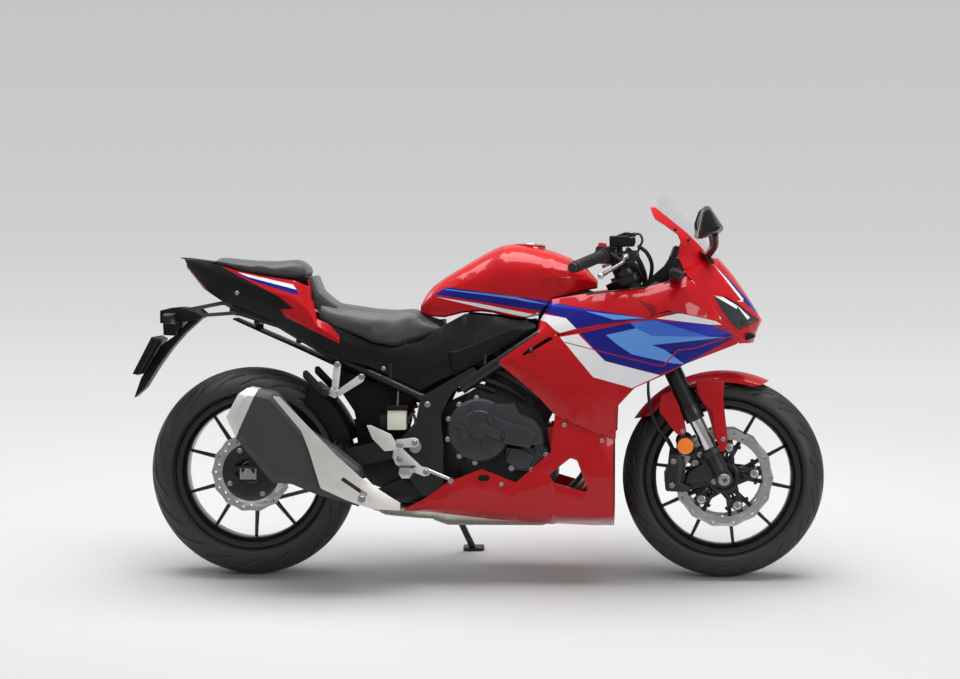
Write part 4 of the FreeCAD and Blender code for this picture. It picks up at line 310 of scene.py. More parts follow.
DEEP_BLUE = "#081078"
MID_BLUE = "#1B2CA8"
SKY_BLUE = "#3C66C4"
LIGHT_BLUE = "#5C90D8"
STRIPE_WHITE = "#E4E4E6"
PIN_RED = "#B00A16"
# The livery's stripes, and one band of painted shade on the shoulder.
LIVERY_WITH_PAINTED_SHADE = (
    Band(DEEP_BLUE, (((-114, 866), (165, 830), (165, 797), (-156, 845)),
                     ((165, 830), (282, 807), (241, 777), (165, 797)),
                     ((282, 807), (341, 798), (330, 757), (274, 744), (241, 777)),
                     ((341, 798), (484, 778), (330, 757)),
                     ((282, 734), (452, 769), (493, 773), (658, 759), (725, 731), (731, 717), (586, 641),
                      (516, 611), (356, 652)))),
    Band(STRIPE_WHITE, (((-167, 846), (-14, 817), (153, 792), (141, 775), (-14, 806), (-168, 842)),
                        ((153, 792), (165, 790), (241, 777), (183, 766), (141, 775)),
                        ((241, 777), (274, 744), (227, 732), (209, 742), (183, 766)),
                        ((224, 722), (277, 731), (356, 652), (321, 605)),
                        ((321, 605), (356, 652), (516, 610), (434, 573)),
                        ((504, 777), (574, 792), (679, 768), (697, 757), (659, 758)))),
    Band(MID_BLUE, (((498, 772), (659, 758), (726, 730), (656, 724), (574, 743)),
                    ((120, 834), (165, 828), (400, 783), (165, 817)))),
    Band(SKY_BLUE, (((428, 765), (498, 772), (661, 722), (493, 724), (446, 748)),)),
    Band(LIGHT_BLUE, (((-121, 861), (94, 838), (94, 831), (-121, 859)),
                      ((94, 838), (200, 813), (385, 785), (200, 804), (94, 831)),
                      ((300, 797), (484, 777), (382, 773)),
                      ((358, 728), (446, 748), (493, 725), (493, 699), (434, 672), (395, 698)),
                      ((493, 725), (656, 722), (708, 720), (493, 699)),
                      ((493, 699), (531, 684), (589, 641), (545, 646), (434, 672)))),
    # Painted shade: two darker red patches on the shoulder, where a sunken facet lies in shadow.
    Band("#7C0510", (((450, 832), (508, 812), (492, 788)), ((484, 780), (492, 789), (508, 812), (500, 779)))),
    Band(PIN_RED, (((239, 708), (510, 640), (510, 637), (239, 705)),
                   ((510, 640), (528, 640), (530, 637), (510, 637)),
                   ((527, 641), (567, 685), (569, 682), (530, 638)),
                   ((567, 685), (615, 690), (615, 687), (568, 682)),
                   ((615, 690), (731, 725), (731, 722), (615, 687)),
                   ((221, 733), (274, 747), (275, 741), (222, 727)),
                   ((274, 747), (484, 779), (484, 773), (275, 741)),
                   ((484, 779), (516, 790), (517, 784), (485, 773)))),
)
NOSE_STRIPES = (
    Band(STRIPE_WHITE, (((676, 931), (768, 831), (760, 822)), ((768, 831), (778, 822), (744, 824)))),
    Band(DEEP_BLUE, (((684, 928), (768, 838), (762, 831)), ((768, 840), (824, 782), (806, 784), (760, 826)))),
)
TAIL_STRIPES = (
    Band(DEEP_BLUE, (((-750, 909), (-561, 859), (-553, 843), (-568, 846), (-680, 880)),)),
    Band(STRIPE_WHITE, (((-740, 911), (-573, 874), (-561, 859), (-710, 897)),)),
)
RED_PAINT = "#B4030E"


def lacquer(name: str, colour: str, bands: tuple[Band, ...]) -> Finish:
    """A sprayed base coat under clear lacquer, with its stripes and any band of painted shade: deep, with a hard,
    wet highlight.
    """
    return Finish(name, colour, 0.4, grain_mm=6, depth_mm=0.015, mottle=0.02, coat=0.55, shine=0.12,
                  bands=bands)


class Finishes(Enum):
    """The finishes of the bike."""

    RED = lacquer("red_lacquer_sprayed", RED_PAINT, LIVERY_WITH_PAINTED_SHADE)
    NOSE_RED = lacquer("red_lacquer_nose", "#B80512", LIVERY_WITH_PAINTED_SHADE + NOSE_STRIPES)
    TAIL_RED = lacquer("red_lacquer_tail", RED_PAINT, TAIL_STRIPES)
    # Moulded ABS left bare: charcoal with a fine pebbled grain that breaks the highlight up.
    ABS = Finish("abs_black_grained", "#0C0C0D", 0.46, grain_mm=0.9, depth_mm=0.05, shine=0.25)
    ABS_SATIN = Finish("abs_black_satin", "#101011", 0.34, grain_mm=1.4, depth_mm=0.02)
    # Powder coat on steel tube: near black, faintly uneven.
    POWDER = Finish("powder_coat_black", "#141517", 0.36, grain_mm=1.6, depth_mm=0.04)
    # Sand-cast aluminium under black engine paint: coarse skin, soft highlight.
    CAST_BLACK = Finish("aluminium_cast_black", "#1B1C1E", 0.45, grain_mm=1.3, depth_mm=0.09)
    COVER_GREY = Finish("aluminium_cast_graphite", "#35373A", 0.4, metallic=0.3, grain_mm=1.1, depth_mm=0.05)
    # Gravity-cast wheel in satin black enamel.
    WHEEL = Finish("wheel_cast_satin_black", "#101011", 0.3, grain_mm=2.0, depth_mm=0.02, coat=0.3)
    # Forged aluminium, bead blasted: bright with a broad soft highlight.
    ALUMINIUM = Finish("aluminium_satin_forged", "#C2C3C4", 0.28, metallic=1.0, grain_mm=0.8, depth_mm=0.02)
    # Hard chromed tube: mirror bright.
    CHROME = Finish("chromed_steel_tube", "#CDCED0", 0.1, metallic=1.0, grain_mm=3, depth_mm=0.004)
    # Ground stainless: fine scratches round the face.
    STEEL = Finish("stainless_ground_disc", "#BDBDBB", 0.3, metallic=1.0, grain_mm=0.7, depth_mm=0.02)
    BOLT = Finish("steel_zinc_plated", "#B0B1B2", 0.28, metallic=1.0, grain_mm=0.6, depth_mm=0.01)
    # Brushed stainless with a faint heat straw.
    TITANIUM = Finish("stainless_brushed_warm", "#C9C3B8", 0.3, metallic=1.0, grain_mm=0.7, depth_mm=0.015,
                      brushed=True)
    # Bead-blasted stainless pressing: pale, with a wide even highlight.
    GUARD = Finish("stainless_blasted_guard", "#E2DFDA", 0.46, metallic=0.7, grain_mm=0.8, depth_mm=0.02)
    # Heat-proof paint: dead matt.
    SILENCER = Finish("heat_paint_matt_black", "#363636", 0.55, grain_mm=1.0, depth_mm=0.06)
    # Moulded rubber for grips, hoses and rests: matt and dark.
    RUBBER = Finish("rubber_moulded", "#1F1F20", 0.6, grain_mm=1.2, depth_mm=0.05)
    # Vulcanised tread compound: charcoal, slightly dusty.
    TYRE = Finish("rubber_vulcanised_tyre", "#262627", 0.5, grain_mm=1.8, depth_mm=0.06, mottle=0.12)
    # Embossed vinyl over foam: fine leather grain, dull sheen.
    SEAT = Finish("vinyl_grained_seat", "#3A3A3C", 0.5, grain_mm=1.6, depth_mm=0.12, sheen=0.15)
    # Blown acrylic, 3 mm thick: nearly clear, a shade darker than what lies behind it.
    SCREEN = Finish("acrylic_clear_blown", "#B4B7BA", 0.05, ior=1.49, mottle=0.02, rough_spread=0.0,
                    depth_mm=0.0, alpha=0.13)
    # Injection-moulded polycarbonate: hard and glossy, coloured through.
    LENS = Finish("polycarbonate_smoked_lens", "#1D1E20", 0.06, ior=1.58, coat=1.0, depth_mm=0.0)
    LAMP_WHITE = Finish("lamp_strip_white", "#E8E8E6", 0.12, ior=1.58, coat=1.0, depth_mm=0.0, glow=0.12)
    RED_LENS = Finish("polycarbonate_red_lens", "#A8060E", 0.08, ior=1.58, coat=1.0, depth_mm=0.0)
    RED_SWITCH = Finish("switch_moulded_red", "#C01822", 0.35, depth_mm=0.01)
    # Moulded amber reflector. Its faint glow is painted light, since a reflector gives none of its own.
    AMBER = Finish("reflector_amber_painted_glow", "#F07A10", 0.15, ior=1.58, coat=1.0, grain_mm=2, depth_mm=0.2,
                   glow=0.12)
    # Stamped steel under mid grey paint.
    BRACKET = Finish("bracket_grey_painted", "#505254", 0.36, metallic=0.5, grain_mm=1.2, depth_mm=0.02)
    # Blow-moulded polyethylene: milky, slightly yellow.
    FLUID = Finish("polyethylene_reservoir", "#D9D8C9", 0.4, ior=1.51, depth_mm=0.0)
    # Rolled steel plate under a film of oil: dark and slightly brown.
    CHAIN = Finish("chain_steel_oiled", "#5C5A55", 0.35, metallic=1.0, grain_mm=0.7, depth_mm=0.02)
    GLASS = Finish("mirror_silvered", "#D8DADC", 0.02, metallic=1.0, depth_mm=0.0)
    DISPLAY = Finish("display_glass_dark", "#0B0D10", 0.06, coat=1.0, depth_mm=0.0)

    @property
    def made(self) -> bpy.types.Material:
        """The finish's material."""
        return self.value.material()


def linked(mesh: bpy.types.Mesh, name: str, *finishes: Finishes) -> bpy.types.Object:
    """Links a mesh as an object at the origin and gives it its finishes.

    Args:
        mesh: The mesh, with its place in its vertices.
        name: The object's name.
        *finishes: The finishes, by material index.

    Returns:
        The linked object.
    """
    thing = bpy.data.objects.new(name, mesh)
    bpy.context.scene.collection.objects.link(thing)
    for finish in finishes:
        mesh.materials.append(finish.made)
    return thing


def applied(thing: bpy.types.Object) -> bpy.types.Object:
    """Turns an object with modifiers into a plain mesh.

    Args:
        thing: The object whose modifiers are to be applied.

    Returns:
        The same object, with the result as its mesh.
    """
    view = bpy.context.evaluated_depsgraph_get()
    mesh = bpy.data.meshes.new_from_object(thing.evaluated_get(view))
    thing.modifiers.clear()
    old = thing.data
    thing.data = mesh
    bpy.data.meshes.remove(old)
    return thing


def smoothed(mesh: bpy.types.Mesh, angle: float) -> None:
    """Shades a mesh smooth, with hard edges where faces turn by more than an angle in degrees."""
    mesh.shade_smooth()
    mesh.set_sharp_from_angle(angle=math.radians(angle))


def rolled(piece: bpy.types.Object, edge_mm: float, angle: float) -> None:
    """Rolls a piece's hard edges, as a pressing or a moulding has them, and shades it.

    Args:
        piece: The piece, in metres.
        edge_mm: How wide the rolled edge is.
        angle: The least turn between two faces, in degrees, that counts as an edge.
    """
    if edge_mm > 0:
        roll = piece.modifiers.new("rolled_edge", "BEVEL")
        roll.width = edge_mm * MM
        roll.segments = ROLL_STEPS
        roll.limit_method = "ANGLE"
        roll.angle_limit = math.radians(angle)
        roll.use_clamp_overlap = True
        applied(piece)
    smoothed(piece.data, angle)


@dataclass(frozen=True)
class Region:
    """A part of a skin in side view that has a finish of its own or is pressed in."""

    outline: tuple[Flat, ...]
    finish: Finishes | None = None
    dent_mm: float = 0.0
    run_mm: float = 30.0

    def depth(self, x: float, z: float) -> float:
        """How far a point lies inside the outline, in millimetres, negative outside."""
        return min(a * x + b * z + c for a, c, b in half_planes(self.outline))

    def holds(self, place: Vector) -> bool:
        """Whether a place in bike millimetres belongs to the region."""
        return self.depth(place.x, place.z) > -0.01


@dataclass
class Skin:
    """A CAD node shown as a welded copy with rolled edges, as a pressed or moulded part has."""

    node: str
    finish: Finishes
    edge_mm: float = 1.2
    angle: float = 28.0
    regions: tuple[Region, ...] = ()

    def copied(self) -> bmesh.types.BMesh:
        """Welds a copy of the node's mesh."""
        work = bmesh.new()
        work.from_mesh(frame["nodes"][self.node].data)
        bmesh.ops.remove_doubles(work, verts=work.verts, dist=WELD_M)
        bmesh.ops.dissolve_limit(work, angle_limit=math.radians(0.8), verts=work.verts, edges=work.edges)
        return work

    def build(self) -> bpy.types.Object:
        """Makes the copy and sets it in the node's place.

        Returns:
            The piece that stands for the node.
        """
        work = self.copied()
        finishes = [self.finish]
        for region in self.regions:
            self._cut(work, region, finishes)
        mesh = bpy.data.meshes.new(self.node + "_skin")
        work.to_mesh(mesh)
        work.free()
        piece = linked(mesh, self.node + "_skin", *finishes)
        rolled(piece, self.edge_mm, self.angle)
        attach(piece, BODY_OF[self.node])
        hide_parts(self.node)
        return piece

    def _cut(self, work: bmesh.types.BMesh, region: Region, finishes: list[Finishes]) -> None:
        """Cuts the mesh along a region's outline, and gives the inside its finish or its dent."""
        for (x0, z0), (x1, z1) in zip(region.outline, (*region.outline[1:], region.outline[0])):
            geometry = [*work.verts, *work.edges, *work.faces]
            bmesh.ops.bisect_plane(work, geom=geometry, dist=0.000005, plane_co=AXES.place(x0, 0, z0),
                                   plane_no=AXES.way(z1 - z0, 0, x0 - x1))
        back = AXES.matrix.inverted()
        if region.finish is not None:
            finishes.append(region.finish)
            for face in work.faces:
                if region.holds(back @ face.calc_center_median()):
                    face.material_index = len(finishes) - 1
        if region.dent_mm:
            for vert in work.verts:
                place = back @ vert.co
                if region.holds(place):
                    share = min(region.depth(place.x, place.z) / region.run_mm, 1.0)
                    place.y -= math.copysign(region.dent_mm * share, place.y)
                    vert.co = AXES.matrix @ place


@dataclass
class Cushion(Skin):
    """A seat's foam and cover, blown up from the CAD shape by a short cloth run and then evened out."""

    voxel_mm: float = 5.0
    most_mm: float = 7.0
    pressure: float = 4.0
    frames: int = 20

    def build(self) -> bpy.types.Object:
        """Makes the padded seat.

        Returns:
            The piece that stands for the node.
        """
        work = self.copied()
        mesh = bpy.data.meshes.new(self.node + "_pad")
        work.to_mesh(mesh)
        work.free()
        piece = linked(mesh, self.node + "_pad", self.finish)
        grid = piece.modifiers.new("remesh", "REMESH")
        grid.mode = "VOXEL"
        grid.voxel_size = self.voxel_mm * MM
        self._ease(piece, "relax", 0.5, 6)
        self._swell(piece)
        self._ease(piece, "calm", 0.6, 14)
        finer = piece.modifiers.new("finer", "SUBSURF")
        finer.levels = 1
        finer.render_levels = 1
        applied(piece)
        smoothed(piece.data, 60)
        piece.data.materials.clear()
        piece.data.materials.append(self.finish.made)
        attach(piece, BODY_OF[self.node])
        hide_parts(self.node)
        return piece

    @staticmethod
    def _ease(piece: bpy.types.Object, name: str, factor: float, times: int) -> None:
        """Evens the surface out, and applies whatever modifiers the piece has by then."""
        ease = piece.modifiers.new(name, "SMOOTH")
        ease.factor = factor
        ease.iterations = times
        applied(piece)

    def _swell(self, piece: bpy.types.Object) -> None:
        """Runs the cloth under pressure and caps how far each point has moved."""
        start = [vert.co.copy() for vert in piece.data.vertices]
        cloth = piece.modifiers.new("cover", "CLOTH")
        cloth.settings.use_pressure = True
        cloth.settings.uniform_pressure_force = self.pressure
        cloth.settings.effector_weights.gravity = 0.0
        scene = bpy.context.scene
        for number in range(self.frames):
            scene.frame_set(number + 1)
        applied(piece)
        scene.frame_set(1)
        cap = self.most_mm * MM
        for vert, place in zip(piece.data.vertices, start):
            move = vert.co - place
            if move.length > cap:
                vert.co = place + move.normalized() * cap


class Form:
    """A closed shape under construction, in millimetres on the upright bike."""

    def __init__(self) -> None:
        self.work = bmesh.new()

    def lathe(self, profile: Sequence[Flat], centre: Point, steps: int = 40, way: Point = LEFT) -> "Form":
        """Turns a closed profile of (radius, along) points about an axis through a centre."""
        turn = Vector(UP).rotation_difference(Vector(way).normalized()).to_matrix()
        rings = []
        for k in range(steps):
            a = 2 * math.pi * k / steps
            spots = [Vector((r * math.cos(a), r * math.sin(a), t)) for r, t in profile]
            rings.append([self.work.verts.new(turn @ spot + Vector(centre)) for spot in spots])
        count = len(profile)
        for k in range(steps):
            here, there = rings[k], rings[(k + 1) % steps]
            for i in range(count):
                j = (i + 1) % count
                if profile[i][0] == 0 and profile[j][0] == 0:
                    continue
                self.work.faces.new((here[i], here[j], there[j], there[i]))
        bmesh.ops.remove_doubles(self.work, verts=self.work.verts, dist=0.001)
        return self

    def slab(self, outline: Sequence[Flat], near: float, far: float, draft: float = 0.0) -> "Form":
        """Adds a plate with a side-view outline, from half-width near to far, drawn in by draft at far."""
        cx = sum(p[0] for p in outline) / len(outline)
        cz = sum(p[1] for p in outline) / len(outline)
        low = [self.work.verts.new((x, near, z)) for x, z in outline]
        high = []
        for x, z in outline:
            away = Vector((x - cx, 0, z - cz))
            inner = away - away.normalized() * draft
            high.append(self.work.verts.new((cx + inner.x, far, cz + inner.z)))
        self.work.faces.new(low)
        self.work.faces.new(list(reversed(high)))
        for i in range(len(outline)):
            j = (i + 1) % len(outline)
            self.work.faces.new((low[i], high[i], high[j], low[j]))
        return self

    def tube(self, points: Sequence[Point], radius: float, sides: int = 12) -> "Form":
        """Adds a round bar along a smooth line through points."""
        line = [Vector(p) for p in points]
        rings = []
        side = None
        for i, here in enumerate(line):
            way = (line[min(i + 1, len(line) - 1)] - line[max(i - 1, 0)]).normalized()
            if side is None:
                side = way.orthogonal().normalized()
            side = (side - way * side.dot(way)).normalized()
            other = way.cross(side)
            ring = []
            for k in range(sides):
                a = 2 * math.pi * k / sides
                ring.append(self.work.verts.new(
                    here + side * (radius * math.cos(a)) + other * (radius * math.sin(a))))
            rings.append(ring)
        for a, b in zip(rings, rings[1:]):
            for k in range(sides):
                j = (k + 1) % sides
                self.work.faces.new((a[k], a[j], b[j], b[k]))
        self.work.faces.new(list(reversed(rings[0])))
        self.work.faces.new(rings[-1])
        return self

    def mirrored(self) -> "Form":
        """Adds the same on the bike's other side."""
        twin = bmesh.ops.duplicate(self.work, geom=[*self.work.verts, *self.work.edges, *self.work.faces])
        for item in twin["geom"]:
            if isinstance(item, bmesh.types.BMVert):
                item.co.y = -item.co.y
        return self

    def mesh(self, name: str) -> bpy.types.Mesh:
        """Closes the form and returns it as a mesh in bike millimetres."""
        bmesh.ops.recalc_face_normals(self.work, faces=self.work.faces)
        made = bpy.data.meshes.new(name)
        self.work.to_mesh(made)
        self.work.free()
        return made

    def piece(self, name: str, body: str, finish: Finishes, edge_mm: float = 0.6, angle: float = 30.0,
              replaces: str = "") -> bpy.types.Object:
        """Turns the form into a finished piece that rides on a body.

        Args:
            name: The piece's name.
            body: The body that it moves with.
            finish: Its finish.
            edge_mm: How wide its rolled edges are.
            angle: The least turn, in degrees, that counts as an edge.
            replaces: The CAD node that it stands for, if any.

        Returns:
            The piece.
        """
        made = self.mesh(name)
        made.transform(AXES.matrix)
        thing = linked(made, name, finish)
        rolled(thing, edge_mm, angle)
        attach(thing, body)
        if replaces:
            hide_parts(replaces)
        return thing


@dataclass(frozen=True)
class Plate:
    """A piece that is one side-view outline given a thickness, on one side of the bike or on both."""

    name: str
    finish: Finishes
    near: float
    far: float
    outline: Sequence[Flat]
    edge_mm: float = 0.6
    draft: float = 0.0
    both: bool = False
    angle: float = 30.0
    body: str = "chassis"
    replaces: str = ""

    def build(self) -> None:
        """Builds the plate."""
        form = Form().slab(self.outline, self.near, self.far, self.draft)
        if self.both:
            form.mirrored()
        form.piece(self.name, self.body, self.finish, self.edge_mm, self.angle, self.replaces)


def build_all(*items: Skin | Plate) -> None:
    """Builds skins and plates in order."""
    for item in items:
        item.build()


def spread_tree() -> bpy.types.NodeTree:
    """Builds, once, the tree that sets a part on every point of a mesh, turned by its attribute."""
    known = bpy.data.node_groups.get("spread")
    if known:
        return known
    tree = bpy.data.node_groups.new("spread", "GeometryNodeTree")
    for name, kind in (("Places", "Geometry"), ("Part", "Object"), ("Size", "Float"), ("Finish", "Material")):
        tree.interface.new_socket(name, in_out="INPUT", socket_type="NodeSocket" + kind)
    tree.interface.new_socket("Result", in_out="OUTPUT", socket_type="NodeSocketGeometry")
    given = add_node(tree, "NodeGroupInput").outputs
    part = add_node(tree, "GeometryNodeObjectInfo", {"Object": given["Part"]}).outputs["Geometry"]
    turn = add_node(tree, "GeometryNodeInputNamedAttribute", {"Name": "turn"}, data_type="FLOAT_VECTOR")
    angle = add_node(tree, "FunctionNodeEulerToRotation", {0: turn.outputs["Attribute"]}).outputs[0]
    many = add_node(tree, "GeometryNodeInstanceOnPoints", {
        "Points": given["Places"], "Instance": part, "Rotation": angle, "Scale": given["Size"]}).outputs[0]
    real = add_node(tree, "GeometryNodeRealizeInstances", {"Geometry": many}).outputs[0]
    dressed = add_node(tree, "GeometryNodeSetMaterial", {
        "Geometry": real, "Material": given["Finish"]}).outputs[0]
    add_node(tree, "NodeGroupOutput", {"Result": dressed})
    return tree


def spread(part: Form, places: Sequence[tuple[Point, Point]], name: str, body: str, finish: Finishes,
           size: float = 1.0, angle: float = 30.0) -> bpy.types.Object:
    """Sets copies of a small part at places on the bike.

    Args:
        part: The part, in millimetres about its own origin.
        places: For each copy its place in bike millimetres and its Euler turn in radians.
        name: The piece's name.
        body: The body that it moves with.
        finish: Its finish.
        size: A factor on the part's size.
        angle: The least turn, in degrees, that counts as an edge.

    Returns:
        One piece with every copy in it.
    """
    source = linked(part.mesh(name + "_part"), name + "_part", finish)
    cloud = bpy.data.meshes.new(name)
    cloud.from_pydata([p for p, _ in places], [], [])
    turns = cloud.attributes.new("turn", "FLOAT_VECTOR", "POINT")
    for i, (_, turn) in enumerate(places):
        turns.data[i].vector = turn
    thing = bpy.data.objects.new(name, cloud)
    bpy.context.scene.collection.objects.link(thing)
    tree = spread_tree()
    modifier = thing.modifiers.new("spread", "NODES")
    modifier.node_group = tree
    values = {"Part": source, "Size": size, "Finish": finish.made}
    for item in tree.interface.items_tree:
        if item.item_type == "SOCKET" and item.in_out == "INPUT" and item.name in values:
            modifier[item.identifier] = values[item.name]
    applied(thing)
    thing.data.transform(AXES.matrix)
    smoothed(thing.data, angle)
    bpy.data.objects.remove(source)
    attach(thing, body)
    return thing


def curved(points: Sequence[Point], steps: int = 8) -> list[Point]:
    """Rounds a route off: a smooth line through its points.

    Args:
        points: The route's points.
        steps: How many pieces each stretch gets.

    Returns:
        The points of the smooth line.
    """
    line = [Vector(p) for p in points]
    ends = [line[0] * 2 - line[1], *line, line[-1] * 2 - line[-2]]
    found = []
    for a, b, c, d in zip(ends, ends[1:], ends[2:], ends[3:]):
        for k in range(steps):
            t = k / steps
            found.append(tuple(0.5 * (2 * b + (c - a) * t + (2 * a - 5 * b + 4 * c - d) * t ** 2
                                      + (3 * b - a - 3 * c + d) * t ** 3)))
    found.append(tuple(line[-1]))
    return found


def facing(way: Point) -> Point:
    """The Euler turn that points a part's Z axis along a way."""
    return tuple(Vector(way).to_track_quat("Z", "Y").to_euler())


def screw(radius: float = 5.2, height: float = 4.0) -> Form:
    """A socket-headed screw standing on a washer, up its own Z axis."""
    r, h = radius, height
    profile = [(0, 1.4), (r * 0.46, 1.4), (r * 0.5, h * 0.95), (r * 0.88, h), (r, h * 0.82), (r, 0.9),
               (r * 1.35, 0.8), (r * 1.35, -1.0), (0, -1.0)]
    return Form().lathe(profile, (0, 0, 0), 16, UP)


def both_sides(points: Sequence[Point], way: Point = LEFT) -> list[tuple[Point, Point]]:
    """Places on the left, facing a way, and their twins on the right."""
    left = [(p, facing(way)) for p in points]
    return left + [((x, -y, z), facing((way[0], -way[1], way[2]))) for x, y, z in points]


def round_the(centre: Point, radius: float, count: int, phase: float, y: float,
              way: Point) -> list[tuple[Point, Point]]:
    """Places round a circle in the wheel's plane, all facing one way."""
    found = []
    for k in range(count):
        a = math.radians(phase) + 2 * math.pi * k / count
        found.append(((centre[0] + radius * math.cos(a), y, centre[2] + radius * math.sin(a)), facing(way)))
    return found


# Each groove: where it starts and ends as shares of the tread's half, its lead along the pitch,
# its slant, its bend and its half width in millimetres.
GROOVES = ((0.08, 0.74, 0.0, 2.2, 0.012, 3.2), (0.46, 0.94, 0.40, 1.8, 0.006, 2.8))
TREAD_REACH = 1.32
SHOULDER_DEG = 82
GROOVED_DEG = 76
LIP_MM = 15.5
RIB_MM = 0.9


@dataclass(frozen=True)
class Tyre:
    """A road tyre whose tread is one pitch of rubber with its grooves, repeated round the wheel."""

    node: str
    body: str
    hub: Point
    radius: float
    width: float
    bead_y: float
    pitches: int = 18
    around: int = 52
    across: int = 60
    groove_mm: float = 3.4

    def build(self) -> None:
        """Builds the tyre and puts it in the CAD node's place."""
        part = Form()
        profile = self._profile()
        step = 2 * math.pi / self.pitches
        length = step * self.radius
        rows = []
        for i in range(self.around + 1):
            share = i / self.around
            angle = step * share
            row = []
            for r, y, outward, run in profile:
                drop = self._groove(share * length, run, length)
                low = r - outward[0] * drop
                row.append(part.work.verts.new((low * math.cos(angle), y - outward[1] * drop,
                                                low * math.sin(angle))))
            rows.append(row)
        for a, b in zip(rows, rows[1:]):
            for j in range(len(profile) - 1):
                part.work.faces.new((a[j], a[j + 1], b[j + 1], b[j]))
        places = [(self.hub, (0.0, -step * k, 0.0)) for k in range(self.pitches)]
        piece = spread(part, places, self.node + "_tread", self.body, Finishes.TYRE, angle=50.0)
        weld = bmesh.new()
        weld.from_mesh(piece.data)
        bmesh.ops.remove_doubles(weld, verts=weld.verts, dist=WELD_M)
        bmesh.ops.recalc_face_normals(weld, faces=weld.faces)
        weld.to_mesh(piece.data)
        weld.free()
        smoothed(piece.data, 50.0)
        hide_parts(self.node)

    def _profile(self) -> list[tuple[float, float, Flat, float | None]]:
        """The closed section: (radius, y, outward way, run along the tread from its middle)."""
        crown = self.width / 2 + 2.0
        centre = self.radius - crown
        lip = RIM_RADIUS + LIP_MM
        points = []
        for i in range(self.across + 1):
            a = math.radians(-SHOULDER_DEG + 2 * SHOULDER_DEG * i / self.across)
            run = crown * a
            points.append((centre + crown * math.cos(a), crown * math.sin(a), (math.cos(a), math.sin(a)),
                           run if abs(a) < math.radians(GROOVED_DEG) else None))
        low_r, low_y = points[-1][:2]
        side = []
        for t in (0.2, 0.4, 0.55, 0.6, 0.75, 0.9, 1.0):
            u = 1 - t
            r = u * u * low_r + 2 * u * t * (lip + 6) + t * t * lip
            y = u * u * low_y + 2 * u * t * (low_y - 1) + t * t * self.bead_y
            if t in (0.55, 0.6):
                y += RIB_MM
            side.append((r, y, (0.0, 0.0), None))
        side.append((RIM_RADIUS, self.bead_y, (0.0, 0.0), None))
        left = [(r, -y, w, n) for r, y, w, n in reversed(side)]
        whole = left + points + side
        return whole + [whole[0]]

    def _groove(self, along: float, run: float | None, length: float) -> float:
        """How deep the tread is cut at a place on it."""
        if run is None:
            return 0.0
        reach = self.width / 2 * TREAD_REACH
        out = abs(run)
        shift = 0.0 if run > 0 else length / 2
        deepest = 0.0
        for start, end, lead, slant, bend, half in GROOVES:
            if not start * reach < out < end * reach:
                continue
            past = out - start * reach
            line = lead * length + slant * past + bend * past * past
            away = (along - line - shift) % length
            away = min(away, length - away) / math.sqrt(1 + slant * slant)
            share = (out - start * reach) / ((end - start) * reach)
            wide = half * min(1.0, 6 * share + 0.25, 5 * (1 - share) + 0.2)
            depth = max(0.0, min(1.0, (wide - away) / 1.1 + 0.5))
            deepest = max(deepest, depth)
        return deepest * self.groove_mm


